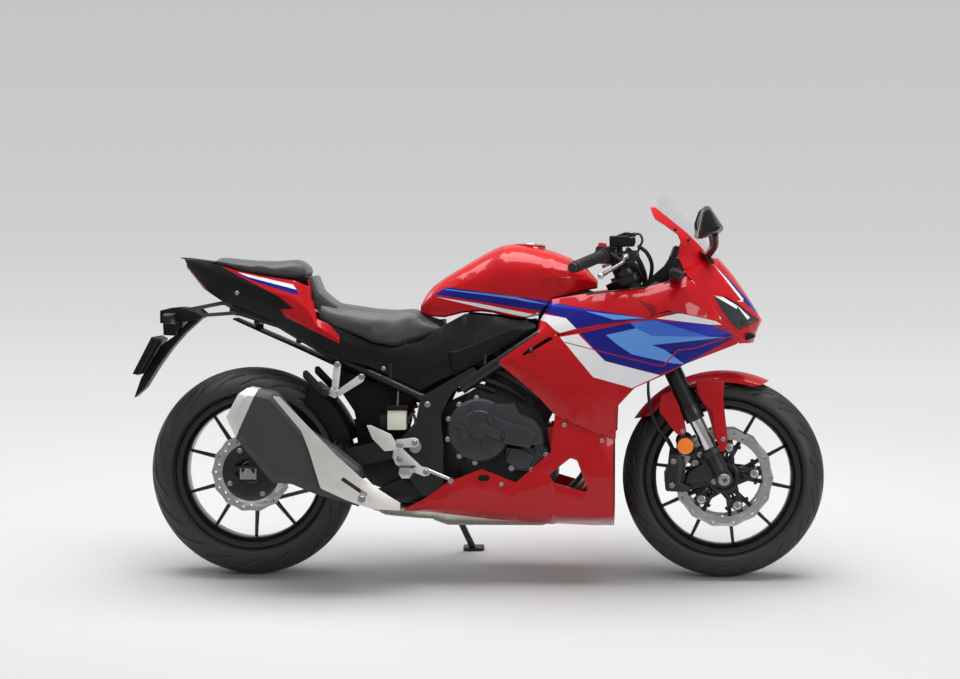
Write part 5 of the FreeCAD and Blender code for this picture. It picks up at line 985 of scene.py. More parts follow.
@dataclass
class Wheels:
    """Both wheels: tyres, cast rims, discs with their bobbins and bolts, sprocket and chain."""

    def build(self) -> None:
        """Builds both wheels."""
        Tyre("front_tyre", "front_wheel", FRONT_AXLE, 299.9, 120.0, 38.5).build()
        Tyre("rear_tyre", "rear_wheel", REAR_AXLE, 311.9, 160.0, 51.0, across=72).build()
        middle = tuple((x, z) for (x, _, z), _ in round_the(
            FRONT_AXLE, DISC_INNER_RADIUS, 24, 0.0, 0.0, LEFT))
        build_all(
            Skin("front_rim", Finishes.WHEEL, 1.6), Skin("rear_rim", Finishes.WHEEL, 1.6),
            Skin("front_discs", Finishes.STEEL, 0.4, regions=(Region(middle, Finishes.WHEEL),)),
            Skin("rear_disc", Finishes.STEEL, 0.4), Skin("rear_sprocket", Finishes.STEEL, 0.4))
        self._front_details()
        self._rear_details()
        self._chain()
        self._engine_sprocket()

    @staticmethod
    def _bosses(half: float) -> list[tuple[Point, Point]]:
        """Places at the front discs' bosses, facing out on both sides."""
        return [place for side in (-1, 1) for place in round_the(
            FRONT_AXLE, BOSS_CIRCLE, BOSSES, BOSS_PHASE, side * half, (0, side, 0))]

    def _front_details(self) -> None:
        """The floating bobbins with their bolts, and the hub's pads and arms out to them."""
        bobbin = Form().lathe([(0, 0), (5.2, 0), (5.6, 1.7), (11.0, 1.9), (12.4, 1.2), (12.4, -3), (0, -3)],
                              (0, 0, 0), 24, UP)
        spread(bobbin, self._bosses(68.6), "disc_bobbins", "front_wheel", Finishes.ALUMINIUM)
        hub_x, _, hub_z = FRONT_AXLE
        arms = Form()
        for k in range(BOSSES):
            middle = math.radians(BOSS_PHASE + 360 / BOSSES * k)
            pad = (hub_x + 90 * math.cos(middle), 0.0, hub_z + 90 * math.sin(middle))
            arms.lathe([(0, 55), (17, 55), (17, 65), (0, 65)], pad, 24)
            for lean in (-1, 1):
                root, tip = middle + lean * math.radians(34), middle + lean * math.radians(5)
                low, high = (Vector((hub_x + r * math.cos(a), hub_z + r * math.sin(a)))
                             for r, a in ((40.0, root), (95.0, tip)))
                off = (high - low).normalized().orthogonal()
                arms.slab([tuple(low + off * 6.5), tuple(high + off * 5.0), tuple(high - off * 5.0),
                           tuple(low - off * 6.5)], 56.0, 64.0)
        arms.lathe([(33, 54), (47, 54), (47, 66), (33, 66)], (hub_x, 0, hub_z), 48)
        arms.mirrored().piece("hub_arms", "front_wheel", Finishes.WHEEL, 1.5)
        spread(screw(4.6, 4.0), self._bosses(68.4), "disc_bolts_front", "front_wheel", Finishes.BOLT)

    def _rear_details(self) -> None:
        """The black carrier over the rear disc's middle, with its bolts, and the sprocket's nuts."""
        for low, high, name in ((-81.6, -80.3, "outer"), (-75.7, -74.6, "inner")):
            ring = [(34, low), (87, low), (87, high), (34, high)]
            Form().lathe(ring, (REAR_AXLE[0], 0, REAR_AXLE[2]), 64).piece(
                "disc_carrier_" + name, "rear_wheel", Finishes.WHEEL, 0.3)
        for name, radius, count, phase, y, way in (("disc_bolts_rear", 73.0, 4, 28, -81.6, RIGHT),
                                                   ("sprocket_nuts", 64.0, 5, 12, 101.0, LEFT)):
            spread(screw(6.0, 4.5), round_the(REAR_AXLE, radius, count, phase, y, way), name, "rear_wheel",
                   Finishes.BOLT)

    def _chain(self) -> None:
        """The drive chain link by link, round both sprockets."""
        front = Vector(COUNTERSHAFT)
        rear = Vector((REAR_AXLE[0], 0, REAR_AXLE[2]))
        rear_r = CHAIN_PITCH / (2 * math.sin(math.pi / REAR_TEETH))
        front_r = CHAIN_PITCH / (2 * math.sin(math.pi / FRONT_TEETH))
        line = front - rear
        base = math.atan2(line.z, line.x)
        lift = math.asin((rear_r - front_r) / line.length)
        run = line.length * math.cos(lift)
        upper, lower = base + math.pi / 2 - lift, base - math.pi / 2 + lift
        front_arc = front_r * (upper - lower)
        rear_arc = rear_r * (2 * math.pi - (upper - lower))
        total = 2 * run + front_arc + rear_arc
        count = 2 * round(total / CHAIN_PITCH / 2)

        def toward(angle: float) -> Vector:
            """The way that an angle points in side view."""
            return Vector((math.cos(angle), 0, math.sin(angle)))

        def at(s: float) -> Vector:
            """The place at a length s along the chain, from where it leaves the rear sprocket's top."""
            if s < run:
                return rear + toward(upper) * rear_r + toward(base - lift) * s
            s -= run
            if s < front_arc:
                return front + toward(upper - s / front_r) * front_r
            s -= front_arc
            if s < run:
                return front + toward(lower) * front_r - toward(base + lift) * s
            s -= run
            return rear + toward(lower - s / rear_r) * rear_r

        for first, kind, node in ((0, "outer", "chain"), (1, "inner", "")):
            places = []
            for k in range(first, count, 2):
                a = at(total * k / count)
                b = at(total * ((k + 1) % count) / count)
                middle = (a + b) / 2
                turn = (0.0, -math.atan2(b.z - a.z, b.x - a.x), 0.0)
                places.append(((middle.x, CHAIN_Y, middle.z), turn))
            link = self._link(CHAIN_PITCH, kind == "outer")
            piece = spread(link, places, "chain_links_" + kind, "chassis", Finishes.CHAIN)
            if node:
                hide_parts(node)

    def _engine_sprocket(self) -> None:
        """The small sprocket on the engine's shaft."""
        pitch_r = CHAIN_PITCH / (2 * math.sin(math.pi / FRONT_TEETH))
        root, tip = pitch_r - 5, pitch_r + 3.6
        outline = []
        for k in range(FRONT_TEETH):
            for share, r in ((-0.3, root), (-0.12, tip), (0.12, tip), (0.3, root)):
                a = 2 * math.pi * (k + share) / FRONT_TEETH
                outline.append((COUNTERSHAFT[0] + r * math.cos(a), COUNTERSHAFT[2] + r * math.sin(a)))
        Form().slab(outline, 94.0, 102.0).piece("engine_sprocket", "chassis", Finishes.STEEL, 0.3)

    @staticmethod
    def _link(pitch: float, outer: bool) -> Form:
        """One link: two waisted plates, with pins through the outer kind and rollers in the inner."""
        form = Form()
        half = 6.7 if outer else 4.9
        outline = []
        for k in range(24):
            a = 2 * math.pi * k / 24
            x = pitch / 2 * math.copysign(1, math.cos(a)) * (1 if abs(math.cos(a)) > 0.26 else 0.35)
            r = 7.0 if abs(math.cos(a)) > 0.26 else 5.6
            outline.append((x + r * math.cos(a), r * math.sin(a)))
        for side in (-1, 1):
            near = side * half - 0.8
            form.slab(outline, near, near + 1.6)
        for x in (-pitch / 2, pitch / 2):
            if outer:
                form.lathe([(0, -7.9), (2.5, -7.9), (2.5, 7.9), (0, 7.9)], (x, 0, 0), 10)
            else:
                form.lathe([(0, -4.0), (5.0, -4.0), (5.0, 4.0), (0, 4.0)], (x, 0, 0), 12)
        return form


@dataclass
class FrontEnd:
    """Fork, calipers, fender, bars and controls."""

    def build(self) -> None:
        """Builds the steered parts."""
        axle_lug = Region(((639, 353), (695, 379), (686, 400), (630, 373)), Finishes.CAST_BLACK)
        build_all(
            Skin("fork_tubes", Finishes.ABS_SATIN, 0.8), Skin("fork_stanchions", Finishes.CHROME, 0.4),
            Skin("fork_lugs", Finishes.CAST_BLACK, 1.5), Skin("triple_clamps", Finishes.POWDER, 1.2),
            Skin("handlebars", Finishes.POWDER, 0.8), Skin("switch_boxes", Finishes.ABS, 1.5),
            Skin("levers", Finishes.ALUMINIUM, 0.8), Skin("front_calipers", Finishes.CAST_BLACK, 1.5),
            Skin("front_axle", Finishes.BOLT, 0.6),
            Skin("front_fender", Finishes.RED, 1.2, regions=(axle_lug,)))
        self._grips()
        self._hoses()
        self._caliper_details()
        self._bar_details()

    def _grips(self) -> None:
        """Ribbed rubber grips over the bar ends."""
        inner, outer = Vector((352.0, 222.0, 962.0)), Vector((272.0, 362.0, 928.0))
        way = (outer - inner).normalized()
        length = (outer - inner).length
        profile = [(0, 12), (23.4, 12), (23.4, 16.5), (17.5, 18)]
        t = 22.0
        while t < length - 12:
            profile += [(16.9, t), (16.9, t + 2.2), (15.7, t + 2.8), (15.7, t + 4.4)]
            t += 5.0
        profile += [(17.2, length - 6), (16.4, length), (0, length)]
        Form().lathe(profile, tuple(inner), 32, tuple(way)).mirrored().piece(
            "grips_ribbed", "fork", Finishes.RUBBER, 0.0, replaces="grips")

    def _hoses(self) -> None:
        """The two brake hoses, each one smooth rubber line down to its caliper."""
        for side, name in ((-1, "right"), (1, "left")):
            route = ((508, side * 62, 722), (474, side * 82, 600), (492, side * 92, 470),
                     (546, side * 86, 404), (568, side * 80, 352))
            line = bpy.data.curves.new("brake_hose_" + name, "CURVE")
            line.dimensions = "3D"
            spline = line.splines.new("NURBS")
            spline.points.add(len(route) - 1)
            for point, place in zip(spline.points, route):
                point.co = (*AXES.place(*place), 1.0)
            spline.order_u = 3
            spline.use_endpoint_u = True
            spline.resolution_u = 16
            hose = bpy.data.objects.new("brake_hose_" + name, line)
            bpy.context.scene.collection.objects.link(hose)
            view = bpy.context.evaluated_depsgraph_get()
            bare = bpy.data.meshes.new_from_object(hose.evaluated_get(view))
            bpy.data.meshes.remove(bare)
            line.bevel_depth = 4.0 * MM
            line.bevel_resolution = 4
            line.use_fill_caps = True
            line.materials.append(Finishes.RUBBER.made)
            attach(hose, "fork")
            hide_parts("brake_hoses")
            tuple(AXES.place(*route[0]))

    def _caliper_details(self) -> None:
        """Round reflectors, the raised forms of calipers and guards, their bolts and the axle's collars."""
        rim = Form().lathe([(0, -128.5), (24.5, -128.5), (26.5, -126), (26.5, -114), (0, -114)],
                           (591, 0, 398), 40)
        rim.tube([(596, -116, 392), (612, -104, 380)], 7.0, 10)
        rim.mirrored().piece("reflector_cases", "fork", Finishes.ABS_SATIN, 0.5)
        lens = Form().lathe([(0, -130.4), (20, -130.2), (23.6, -129.2), (23.6, -127), (0, -127)],
                            (591, 0, 398), 40)
        lens.mirrored().piece("reflector_lenses", "fork", Finishes.AMBER, 0.0)
        bodies = Form().slab([(546, 376), (576, 376), (588, 346), (578, 288), (606, 276), (606, 260),
                              (538, 265), (529, 291), (541, 334)], 100, 121, 2.0)
        bodies.slab([(587, 279), (623, 285), (652, 291), (688, 273), (699, 327), (655, 397), (634, 391),
                     (623, 374), (640, 344), (600, 318)], 96, 108, 1.5)
        bodies.mirrored().piece("caliper_bodies", "fork", Finishes.CAST_BLACK, 3.5)
        guards = Form().slab([(617, 562), (693, 556), (702, 485), (717, 417), (711, 403), (702, 376),
                              (679, 420), (655, 503)], 93, 100, 1.5)
        guards.slab([(516, 532), (549, 526), (570, 509), (596, 438), (587, 426), (570, 432), (531, 485)],
                    93, 100, 1.5)
        guards.mirrored().piece("fender_guards", "fork", Finishes.RED, 3.5)
        mounts = both_sides([(556, 120.6, 352), (552, 120.6, 282), (634, 107.6, 372), (676, 107.6, 292)])
        spread(screw(6.5, 5.0), mounts, "caliper_bolts", "fork", Finishes.BOLT)
        fixings = both_sides([(703, 115.2, 418), (584, 115.2, 441)])
        spread(screw(5.6, 4.0), fixings, "fender_bolts", "fork", Finishes.BOLT)
        ribs = Form()
        for k in range(4):
            x, top = 546 + 7 * k, 352 - 4 * k
            ribs.slab([(x, top), (x + 3, top), (x - 3, 276), (x - 6, 276)], 118.6, 123.2)
        ribs.mirrored().piece("caliper_ribs", "fork", Finishes.CAST_BLACK, 0.5)
        collar = Form().lathe([(8.5, -137.5), (15, -137.5), (17, -135), (17, -130.4), (8.5, -130.4)],
                              FRONT_AXLE, 32)
        collar.mirrored().piece("axle_collars", "fork", Finishes.BOLT, 0.4)

    def _bar_details(self) -> None:
        """The fluid cup with its lid, cables, master cylinder, switch keys and the steering nut."""
        build_all(
            Plate("fluid_cup", Finishes.ABS, -198, -158,
                  ((383, 984), (441, 986), (445, 1000), (444, 1014), (384, 1006)), 3.0, 1.0, body="fork"),
            Plate("fluid_cup_lid", Finishes.ABS, -200, -156,
                  ((382, 1008), (446, 1015), (445, 1025), (412, 1028), (384, 1017)), 2.5, 1.5, body="fork"))
        lid_screws = [(place, facing((0, 0, 1))) for place in ((424, -190, 1028.6), (440, -167, 1028))]
        spread(screw(3.2, 2.4), lid_screws, "fluid_cup_screws", "fork", Finishes.BOLT)
        cables = Form()
        for route, radius in (
            (((436, -190, 1022), (456, -196, 1022), (464, -200, 1004), (456, -190, 984),
              (446, -170, 958)), 3.6),
            (((452, -150, 988), (478, -134, 966), (492, -104, 928), (484, -70, 876)), 6.0),
            (((420, -162, 978), (450, -128, 950), (470, -88, 902), (470, -66, 860)), 8.0),
            (((398, -152, 962), (436, -118, 928), (455, -80, 880)), 9.0),
            (((372, -240, 968), (404, -226, 946), (432, -180, 940), (452, -130, 920), (468, -84, 880)), 4.5),
            (((372, 240, 968), (404, 226, 946), (432, 180, 940), (452, 130, 920), (468, 84, 880)), 4.5),
            (((420, 162, 978), (450, 128, 950), (470, 88, 902), (470, 66, 860)), 6.0),
        ):
            cables.tube(curved(route), radius, 12)
        cables.piece("bar_cables", "fork", Finishes.RUBBER, 0.0, 50.0)
        build_all(
            Plate("master_cylinder", Finishes.ABS_SATIN, -206, -158,
                  ((392, 972), (452, 976), (458, 956), (440, 938), (398, 942)), 5.0, 2.0, body="fork"),
            Plate("kill_switch_key", Finishes.RED_SWITCH, -234, -216,
                  ((333, 984), (362, 984), (360, 996), (338, 998)), 1.0, 1.0, body="fork"),
            Plate("switch_keys", Finishes.RUBBER, 190, 186,
                  ((338, 960), (352, 960), (352, 972), (338, 972)), 0.8, 1.0, both=True, body="fork"))
        nut = Form().lathe([(8.4, 0), (21, 0), (21, 9), (18, 12), (8.4, 12)], (364.4, 0, 929.0), 6,
                           (-0.4305, 0, 0.9026))
        nut.piece("steering_nut", "fork", Finishes.BOLT, 0.8)


@dataclass
class Seats:
    """The rider's and the pillion's seat."""

    def build(self) -> None:
        """Builds both seats, the rider's hump and what lies under the padding."""
        Cushion("rider_seat", Finishes.SEAT).build()
        Cushion("pillion_seat", Finishes.SEAT, most_mm=5.0).build()
        build_all(
            Plate("seat_hump", Finishes.SEAT, -98, 98,
                  ((-531, 893), (-519, 903), (-499, 852), (-464, 824), (-436, 806), (-440, 776), (-500, 790),
                   (-519, 833)), 8.0, angle=25.0),
            Plate("seat_pan", Finishes.ABS, -86, 86,
                  ((-500, 800), (-440, 765), (-380, 745), (-130, 768), (-130, 690), (-400, 680), (-480, 740)),
                  3.0),
            Plate("pillion_base", Finishes.ABS, -84, 84,
                  ((-802, 936), (-700, 925), (-560, 908), (-527, 892), (-535, 872), (-600, 880), (-780, 916)),
                  3.0))


@dataclass
class Bodywork:
    """The painted panels, their dents and screws, the screen and the lamps."""

    def build(self) -> None:
        """Builds the bodywork."""
        self._panels()
        self._plate_holder()
        self._lamps()
        self._screws()
        self._trim()

    def _panels(self) -> None:
        """Every painted or bare panel."""
        tail_black = (
            Region(((-956, 992), (-803, 950), (-788, 925), (-957, 925)), Finishes.ABS),
            Region(((-956, 977), (-788, 926), (-612, 838), (-569, 803), (-609, 800), (-957, 800)),
                   Finishes.ABS),
            Region(((-957, 804), (-609, 800), (-594, 777), (-595, 590), (-958, 589)), Finishes.ABS),
            Region(((-594, 778), (-463, 714), (-403, 685), (-403, 590), (-595, 590)), Finishes.ABS),
            Region(((-519, 833), (-463, 756), (-403, 690), (-380, 700), (-380, 900), (-519, 900)),
                   Finishes.ABS),
            Region(((-930, 945), (-912, 938), (-835, 852), (-845, 838)), Finishes.RED_LENS),
        )
        recess = ((452, 576), (376, 585), (332, 570), (313, 549), (318, 497), (341, 391), (372, 244),
                  (392, 200), (400, 420), (470, 560))
        oval = Region(((-21, 303), (-13, 314), (8, 314), (19, 306), (8, 295), (-13, 295)), Finishes.ABS)
        belly_recess = Region(((341, 391), (318, 470), (400, 470), (400, 150), (378, 150)), None, 6.0, 24.0)
        build_all(
            Skin("fuel_tank", Finishes.RED, 3.0),
            Skin("tail_cowl", Finishes.TAIL_RED, 1.6, regions=tail_black),
            Skin("side_covers", Finishes.ABS, 2.0),
            Skin("shoulder_cowls", Finishes.RED, 1.6),
            Skin("mid_cowls", Finishes.RED, 2.2, regions=(Region(recess, None, 7.0, 26.0),)),
            Plate("cowl_joint_fillers", Finishes.RED, 148, 154,
                  ((184, 452), (240, 470), (262, 380), (222, 350), (196, 380)), 1.0, both=True),
            Skin("belly_left", Finishes.RED, 1.8),
            Skin("belly_right", Finishes.RED, 1.8, regions=(belly_recess, oval)),
            Skin("nose_cowl", Finishes.NOSE_RED, 1.6),
            Skin("inner_cowls", Finishes.ABS, 1.0),
            Skin("windscreen", Finishes.SCREEN, 0.4),
            Skin("undertray", Finishes.ABS, 1.0),
            Skin("hugger", Finishes.ABS, 1.0),
            Plate("mirror_heads", Finishes.ABS_SATIN, 276, 366,
                  ((621, 1056), (634, 1094), (645, 1104), (658, 1103), (698, 1042), (697, 1033), (688, 1024),
                   (632, 1007), (623, 1012)), 12.0, 12.0, both=True, angle=25.0, replaces="mirrors"))
        stalks = Form().tube(curved(((652, 104, 952), (664, 150, 968), (676, 220, 990), (674, 290, 1024))),
                             9.0, 18)
        stalks.slab([(632, 975), (673, 951), (678, 936), (668, 934), (639, 961)], 92, 114, 2.0)
        stalks.mirrored().piece("mirror_stalks", "chassis", Finishes.ABS_SATIN, 2.0, 50.0)

    def _plate_holder(self) -> None:
        """The slotted arms, the head with the indicators' feet, and the tongue with its blank plate."""
        arms = Form()
        for outline in (((-924, 798), (-788, 825), (-784, 810), (-801, 811), (-867, 798)),
                        ((-788, 825), (-694, 793), (-698, 787), (-761, 796), (-786, 809)),
                        ((-761, 797), (-698, 791), (-700, 786), (-854, 775), (-854, 785), (-768, 791)),
                        ((-924, 798), (-867, 798), (-853, 786), (-853, 775), (-880, 778), (-920, 788))):
            arms.slab(outline, 36, 44)
        arms.slab([(-924, 806), (-880, 800), (-880, 770), (-924, 770)], -36, 0)
        arms.mirrored().piece("plate_arms", "chassis", Finishes.BRACKET, 0.6)
        build_all(
            Plate("plate_head", Finishes.ABS, -48, 48,
                  ((-985, 795), (-950, 803), (-924, 805), (-880, 790), (-854, 776), (-864, 769), (-902, 761),
                   (-985, 756)), 3.0, replaces="plate_bracket"),
            Plate("plate_foot", Finishes.ABS, -62, 62,
                  ((-974, 758), (-921, 762), (-934, 719), (-972, 721)), 3.0),
            Plate("plate_tongue", Finishes.ABS, -34, 34,
                  ((-866, 768), (-912, 727), (-953, 681), (-993, 626), (-1034, 561), (-1067, 531),
                   (-1046, 590), (-985, 690), (-937, 722), (-902, 762)), 1.5),
            Plate("plate_blank", Finishes.ABS, -92, 92,
                  ((-1003, 717), (-1061, 606), (-1044, 602), (-984, 706)), 1.5))

    def _lamps(self) -> None:
        """Headlamps with their white strip, tail lamp, indicators, display and cockpit panels."""
        strips = (Region(((672, 843), (684, 848), (744, 811), (742, 802)), Finishes.LAMP_WHITE),
                  Region(((742, 812), (748, 808), (782, 776), (774, 770)), Finishes.LAMP_WHITE))
        build_all(
            Skin("headlamps", Finishes.LENS, 1.0, regions=strips),
            Skin("tail_lamp", Finishes.RED_LENS, 1.0),
            Skin("indicators", Finishes.ABS_SATIN, 2.0),
            Plate("front_indicator_shells", Finishes.ABS_SATIN, 150, 198,
                  ((540, 920), (574, 927), (581, 908), (569, 889), (540, 895)), 5.0, 2.5, both=True),
            Plate("dash_housing", Finishes.ABS, -64, 64,
                  ((541, 942), (560, 990), (572, 986), (556, 936)), 4.0, replaces="dashboard"),
            Plate("dash_glass", Finishes.DISPLAY, -52, 52,
                  ((543, 950), (557, 985), (555, 986), (541, 951)), 0.5),
            Plate("cockpit_panels", Finishes.ABS, 146, 150,
                  ((574, 988), (564, 984), (528, 927), (457, 866), (584, 891), (594, 903), (564, 947)), 1.5,
                  both=True))

    def _screws(self) -> None:
        """The panel screws that show, on both sides."""
        outward = (0.0, 1.0, 0.12)
        places = both_sides([(237, 206.5, 464), (347, 200.0, 418)], outward)
        places += both_sides([(51, 168.5, 286)], (0, 1, -0.1)) + both_sides([(-301, 133.5, 626)])
        places += both_sides([(-741, 112.5, 849)], (0, 1, 0.1))
        spread(screw(5.0, 3.0), places, "panel_screws", "chassis", Finishes.BOLT)
        spread(screw(4.0, 2.4), both_sides([(560, 140, 1036), (600, 118, 1006)], (0.2, 0.9, 0.3)),
               "screen_screws", "chassis", Finishes.ABS_SATIN)

    def _trim(self) -> None:
        """The side covers' ridges, the chin under the lamps, the mirrors' glasses and the filler cap."""
        build_all(
            Plate("side_cover_ducts", Finishes.ABS, 142, 157,
                  ((-111, 677), (-90, 677), (79, 746), (132, 746), (-85, 614), (-100, 619)), 4.0, 6.0,
                  both=True),
            Plate("nose_chin", Finishes.ABS, -84, 84,
                  ((752, 728), (788, 730), (800, 721), (780, 711), (752, 706)), 2.0),
            Plate("mirror_glasses", Finishes.GLASS, 288, 350,
                  ((621, 1015), (636, 1090), (639, 1090), (625, 1015)), 1.0, both=True))
        up = (0.06, 0, 1)
        cap = Form().lathe([(0, 12), (20, 12), (22, 10), (38, 9), (44, 6), (46, 0), (46, -2), (0, -2)],
                           (128.5, 0, 984.0), 48, up)
        cap.piece("filler_cap", "chassis", Finishes.ALUMINIUM, 0.5)
        turns = [math.pi / 3 * k for k in range(6)]
        places = [((128 + 32 * math.cos(a), 32 * math.sin(a), 993.5), facing(up)) for a in turns]
        spread(screw(3.4, 2.0), places, "filler_screws", "chassis", Finishes.BOLT)


@dataclass
class Engine:
    """Engine, covers, exhaust and radiator."""

    def build(self) -> None:
        """Builds the engine and what hangs on it."""
        cap = Region(((-640, 610), (-768, 610), (-768, 380), (-722, 430)), Finishes.GUARD)
        build_all(
            Skin("engine_block", Finishes.CAST_BLACK, 2.5), Skin("clutch_cover", Finishes.COVER_GREY, 2.0),
            Skin("engine_covers", Finishes.COVER_GREY, 2.0), Skin("radiator", Finishes.CAST_BLACK, 1.0),
            Skin("exhaust_pipes", Finishes.TITANIUM, 0.8),
            Skin("silencer", Finishes.SILENCER, 5.0, regions=(cap,)),
            Skin("silencer_guard", Finishes.GUARD, 1.6))
        self._covers()
        self._radiator_core()
        self._exhaust_details()

    def _covers(self) -> None:
        """Lugs and bolts round the covers, the clutch cover's raised disc and the covers' outer steps."""
        turns = [math.radians(a) for a in (95, 128, 160, 196, 232, 262)]
        bolts = [(CLUTCH_X + 96 * math.cos(a), -160.4, CLUTCH_Z + 96 * math.sin(a)) for a in turns]
        lugs = Form()
        for x, _, z in bolts:
            lugs.lathe([(0, -118), (10, -118), (9, -160), (0, -160)], (x, 0, z), 16)
        lugs.piece("clutch_cover_lugs", "chassis", Finishes.COVER_GREY, 1.0)
        bolts += [(80, -170.4, 334), (182, -170.4, 374), (140, -170.4, 330)]
        spread(screw(6.2, 5.0), [(place, facing((0, -1, 0))) for place in bolts], "engine_bolts", "chassis",
               Finishes.BOLT)
        disc = [(0, -178.6), (50, -178.6), (56, -179.6), (58, -178.6), (60, -176), (0, -176)]
        Form().lathe(disc, (CLUTCH_X, 0, CLUTCH_Z), 48).piece(
            "clutch_cover_disc", "chassis", Finishes.COVER_GREY, 0.4)
        build_all(
            Plate("clutch_cover_step", Finishes.COVER_GREY, -176, -184.5,
                  ((-7, 473), (26, 458), (47, 452), (54, 440), (49, 414), (-16, 437)), 2.5, 3.0),
            Plate("engine_cover_upper", Finishes.COVER_GREY, -182, -189,
                  ((26, 490), (77, 471), (144, 454), (158, 440), (135, 391), (110, 397), (58, 406), (58, 448),
                   (26, 464)), 2.0, 3.0),
            Plate("engine_cover_front", Finishes.CAST_BLACK, -160, -176,
                  ((141, 413), (160, 420), (179, 405), (177, 384), (152, 375)), 2.0, 3.0),
            Plate("engine_cover_lower", Finishes.COVER_GREY, -166, -178,
                  ((76, 395), (110, 393), (135, 380), (150, 372), (135, 334), (110, 329), (61, 354)),
                  2.5, 3.0))
        turns = [math.pi / 4 * k for k in range(8)]
        left = [((GENERATOR_X + 74 * math.cos(a), 152.5, GENERATOR_Z + 74 * math.sin(a)), facing((0, 1, 0)))
                for a in turns]
        spread(screw(5.6, 4.5), left, "generator_bolts", "chassis", Finishes.BOLT)

    def _radiator_core(self) -> None:
        """The cooler's fins across its front."""
        fin = Form()
        fin.slab([(-1.2, -1.0), (1.2, -1.0), (1.2, 1.0), (-1.2, 1.0)], -114, 114)
        places = [((379.4, 0.0, 456 + 5.5 * k), (0.0, 0.0, 0.0)) for k in range(40)]
        spread(fin, places, "radiator_fins", "chassis", Finishes.ALUMINIUM)

    def _exhaust_details(self) -> None:
        """The guard's bolt, the silencer's outlet and the joint clamp."""
        spread(screw(9.0, 6.0), [((-351, -281.6, 252), facing((0, -1, 0)))], "silencer_bolts", "chassis",
               Finishes.BOLT)
        outlet = Form().lathe([(20, 0), (24, 0), (24, 26), (22, 27), (20, 26)], (-716, -214, 500), 40,
                              (-0.86, 0, 0.5))
        outlet.piece("silencer_outlet", "chassis", Finishes.TITANIUM, 0.4)
        clamp = Form().lathe([(25.4, -9), (29, -9), (29, 9), (25.4, 9)], (-318, -160, 236), 40,
                             (-50, -76, 42))
        clamp.piece("exhaust_clamp", "chassis", Finishes.BOLT, 0.6)


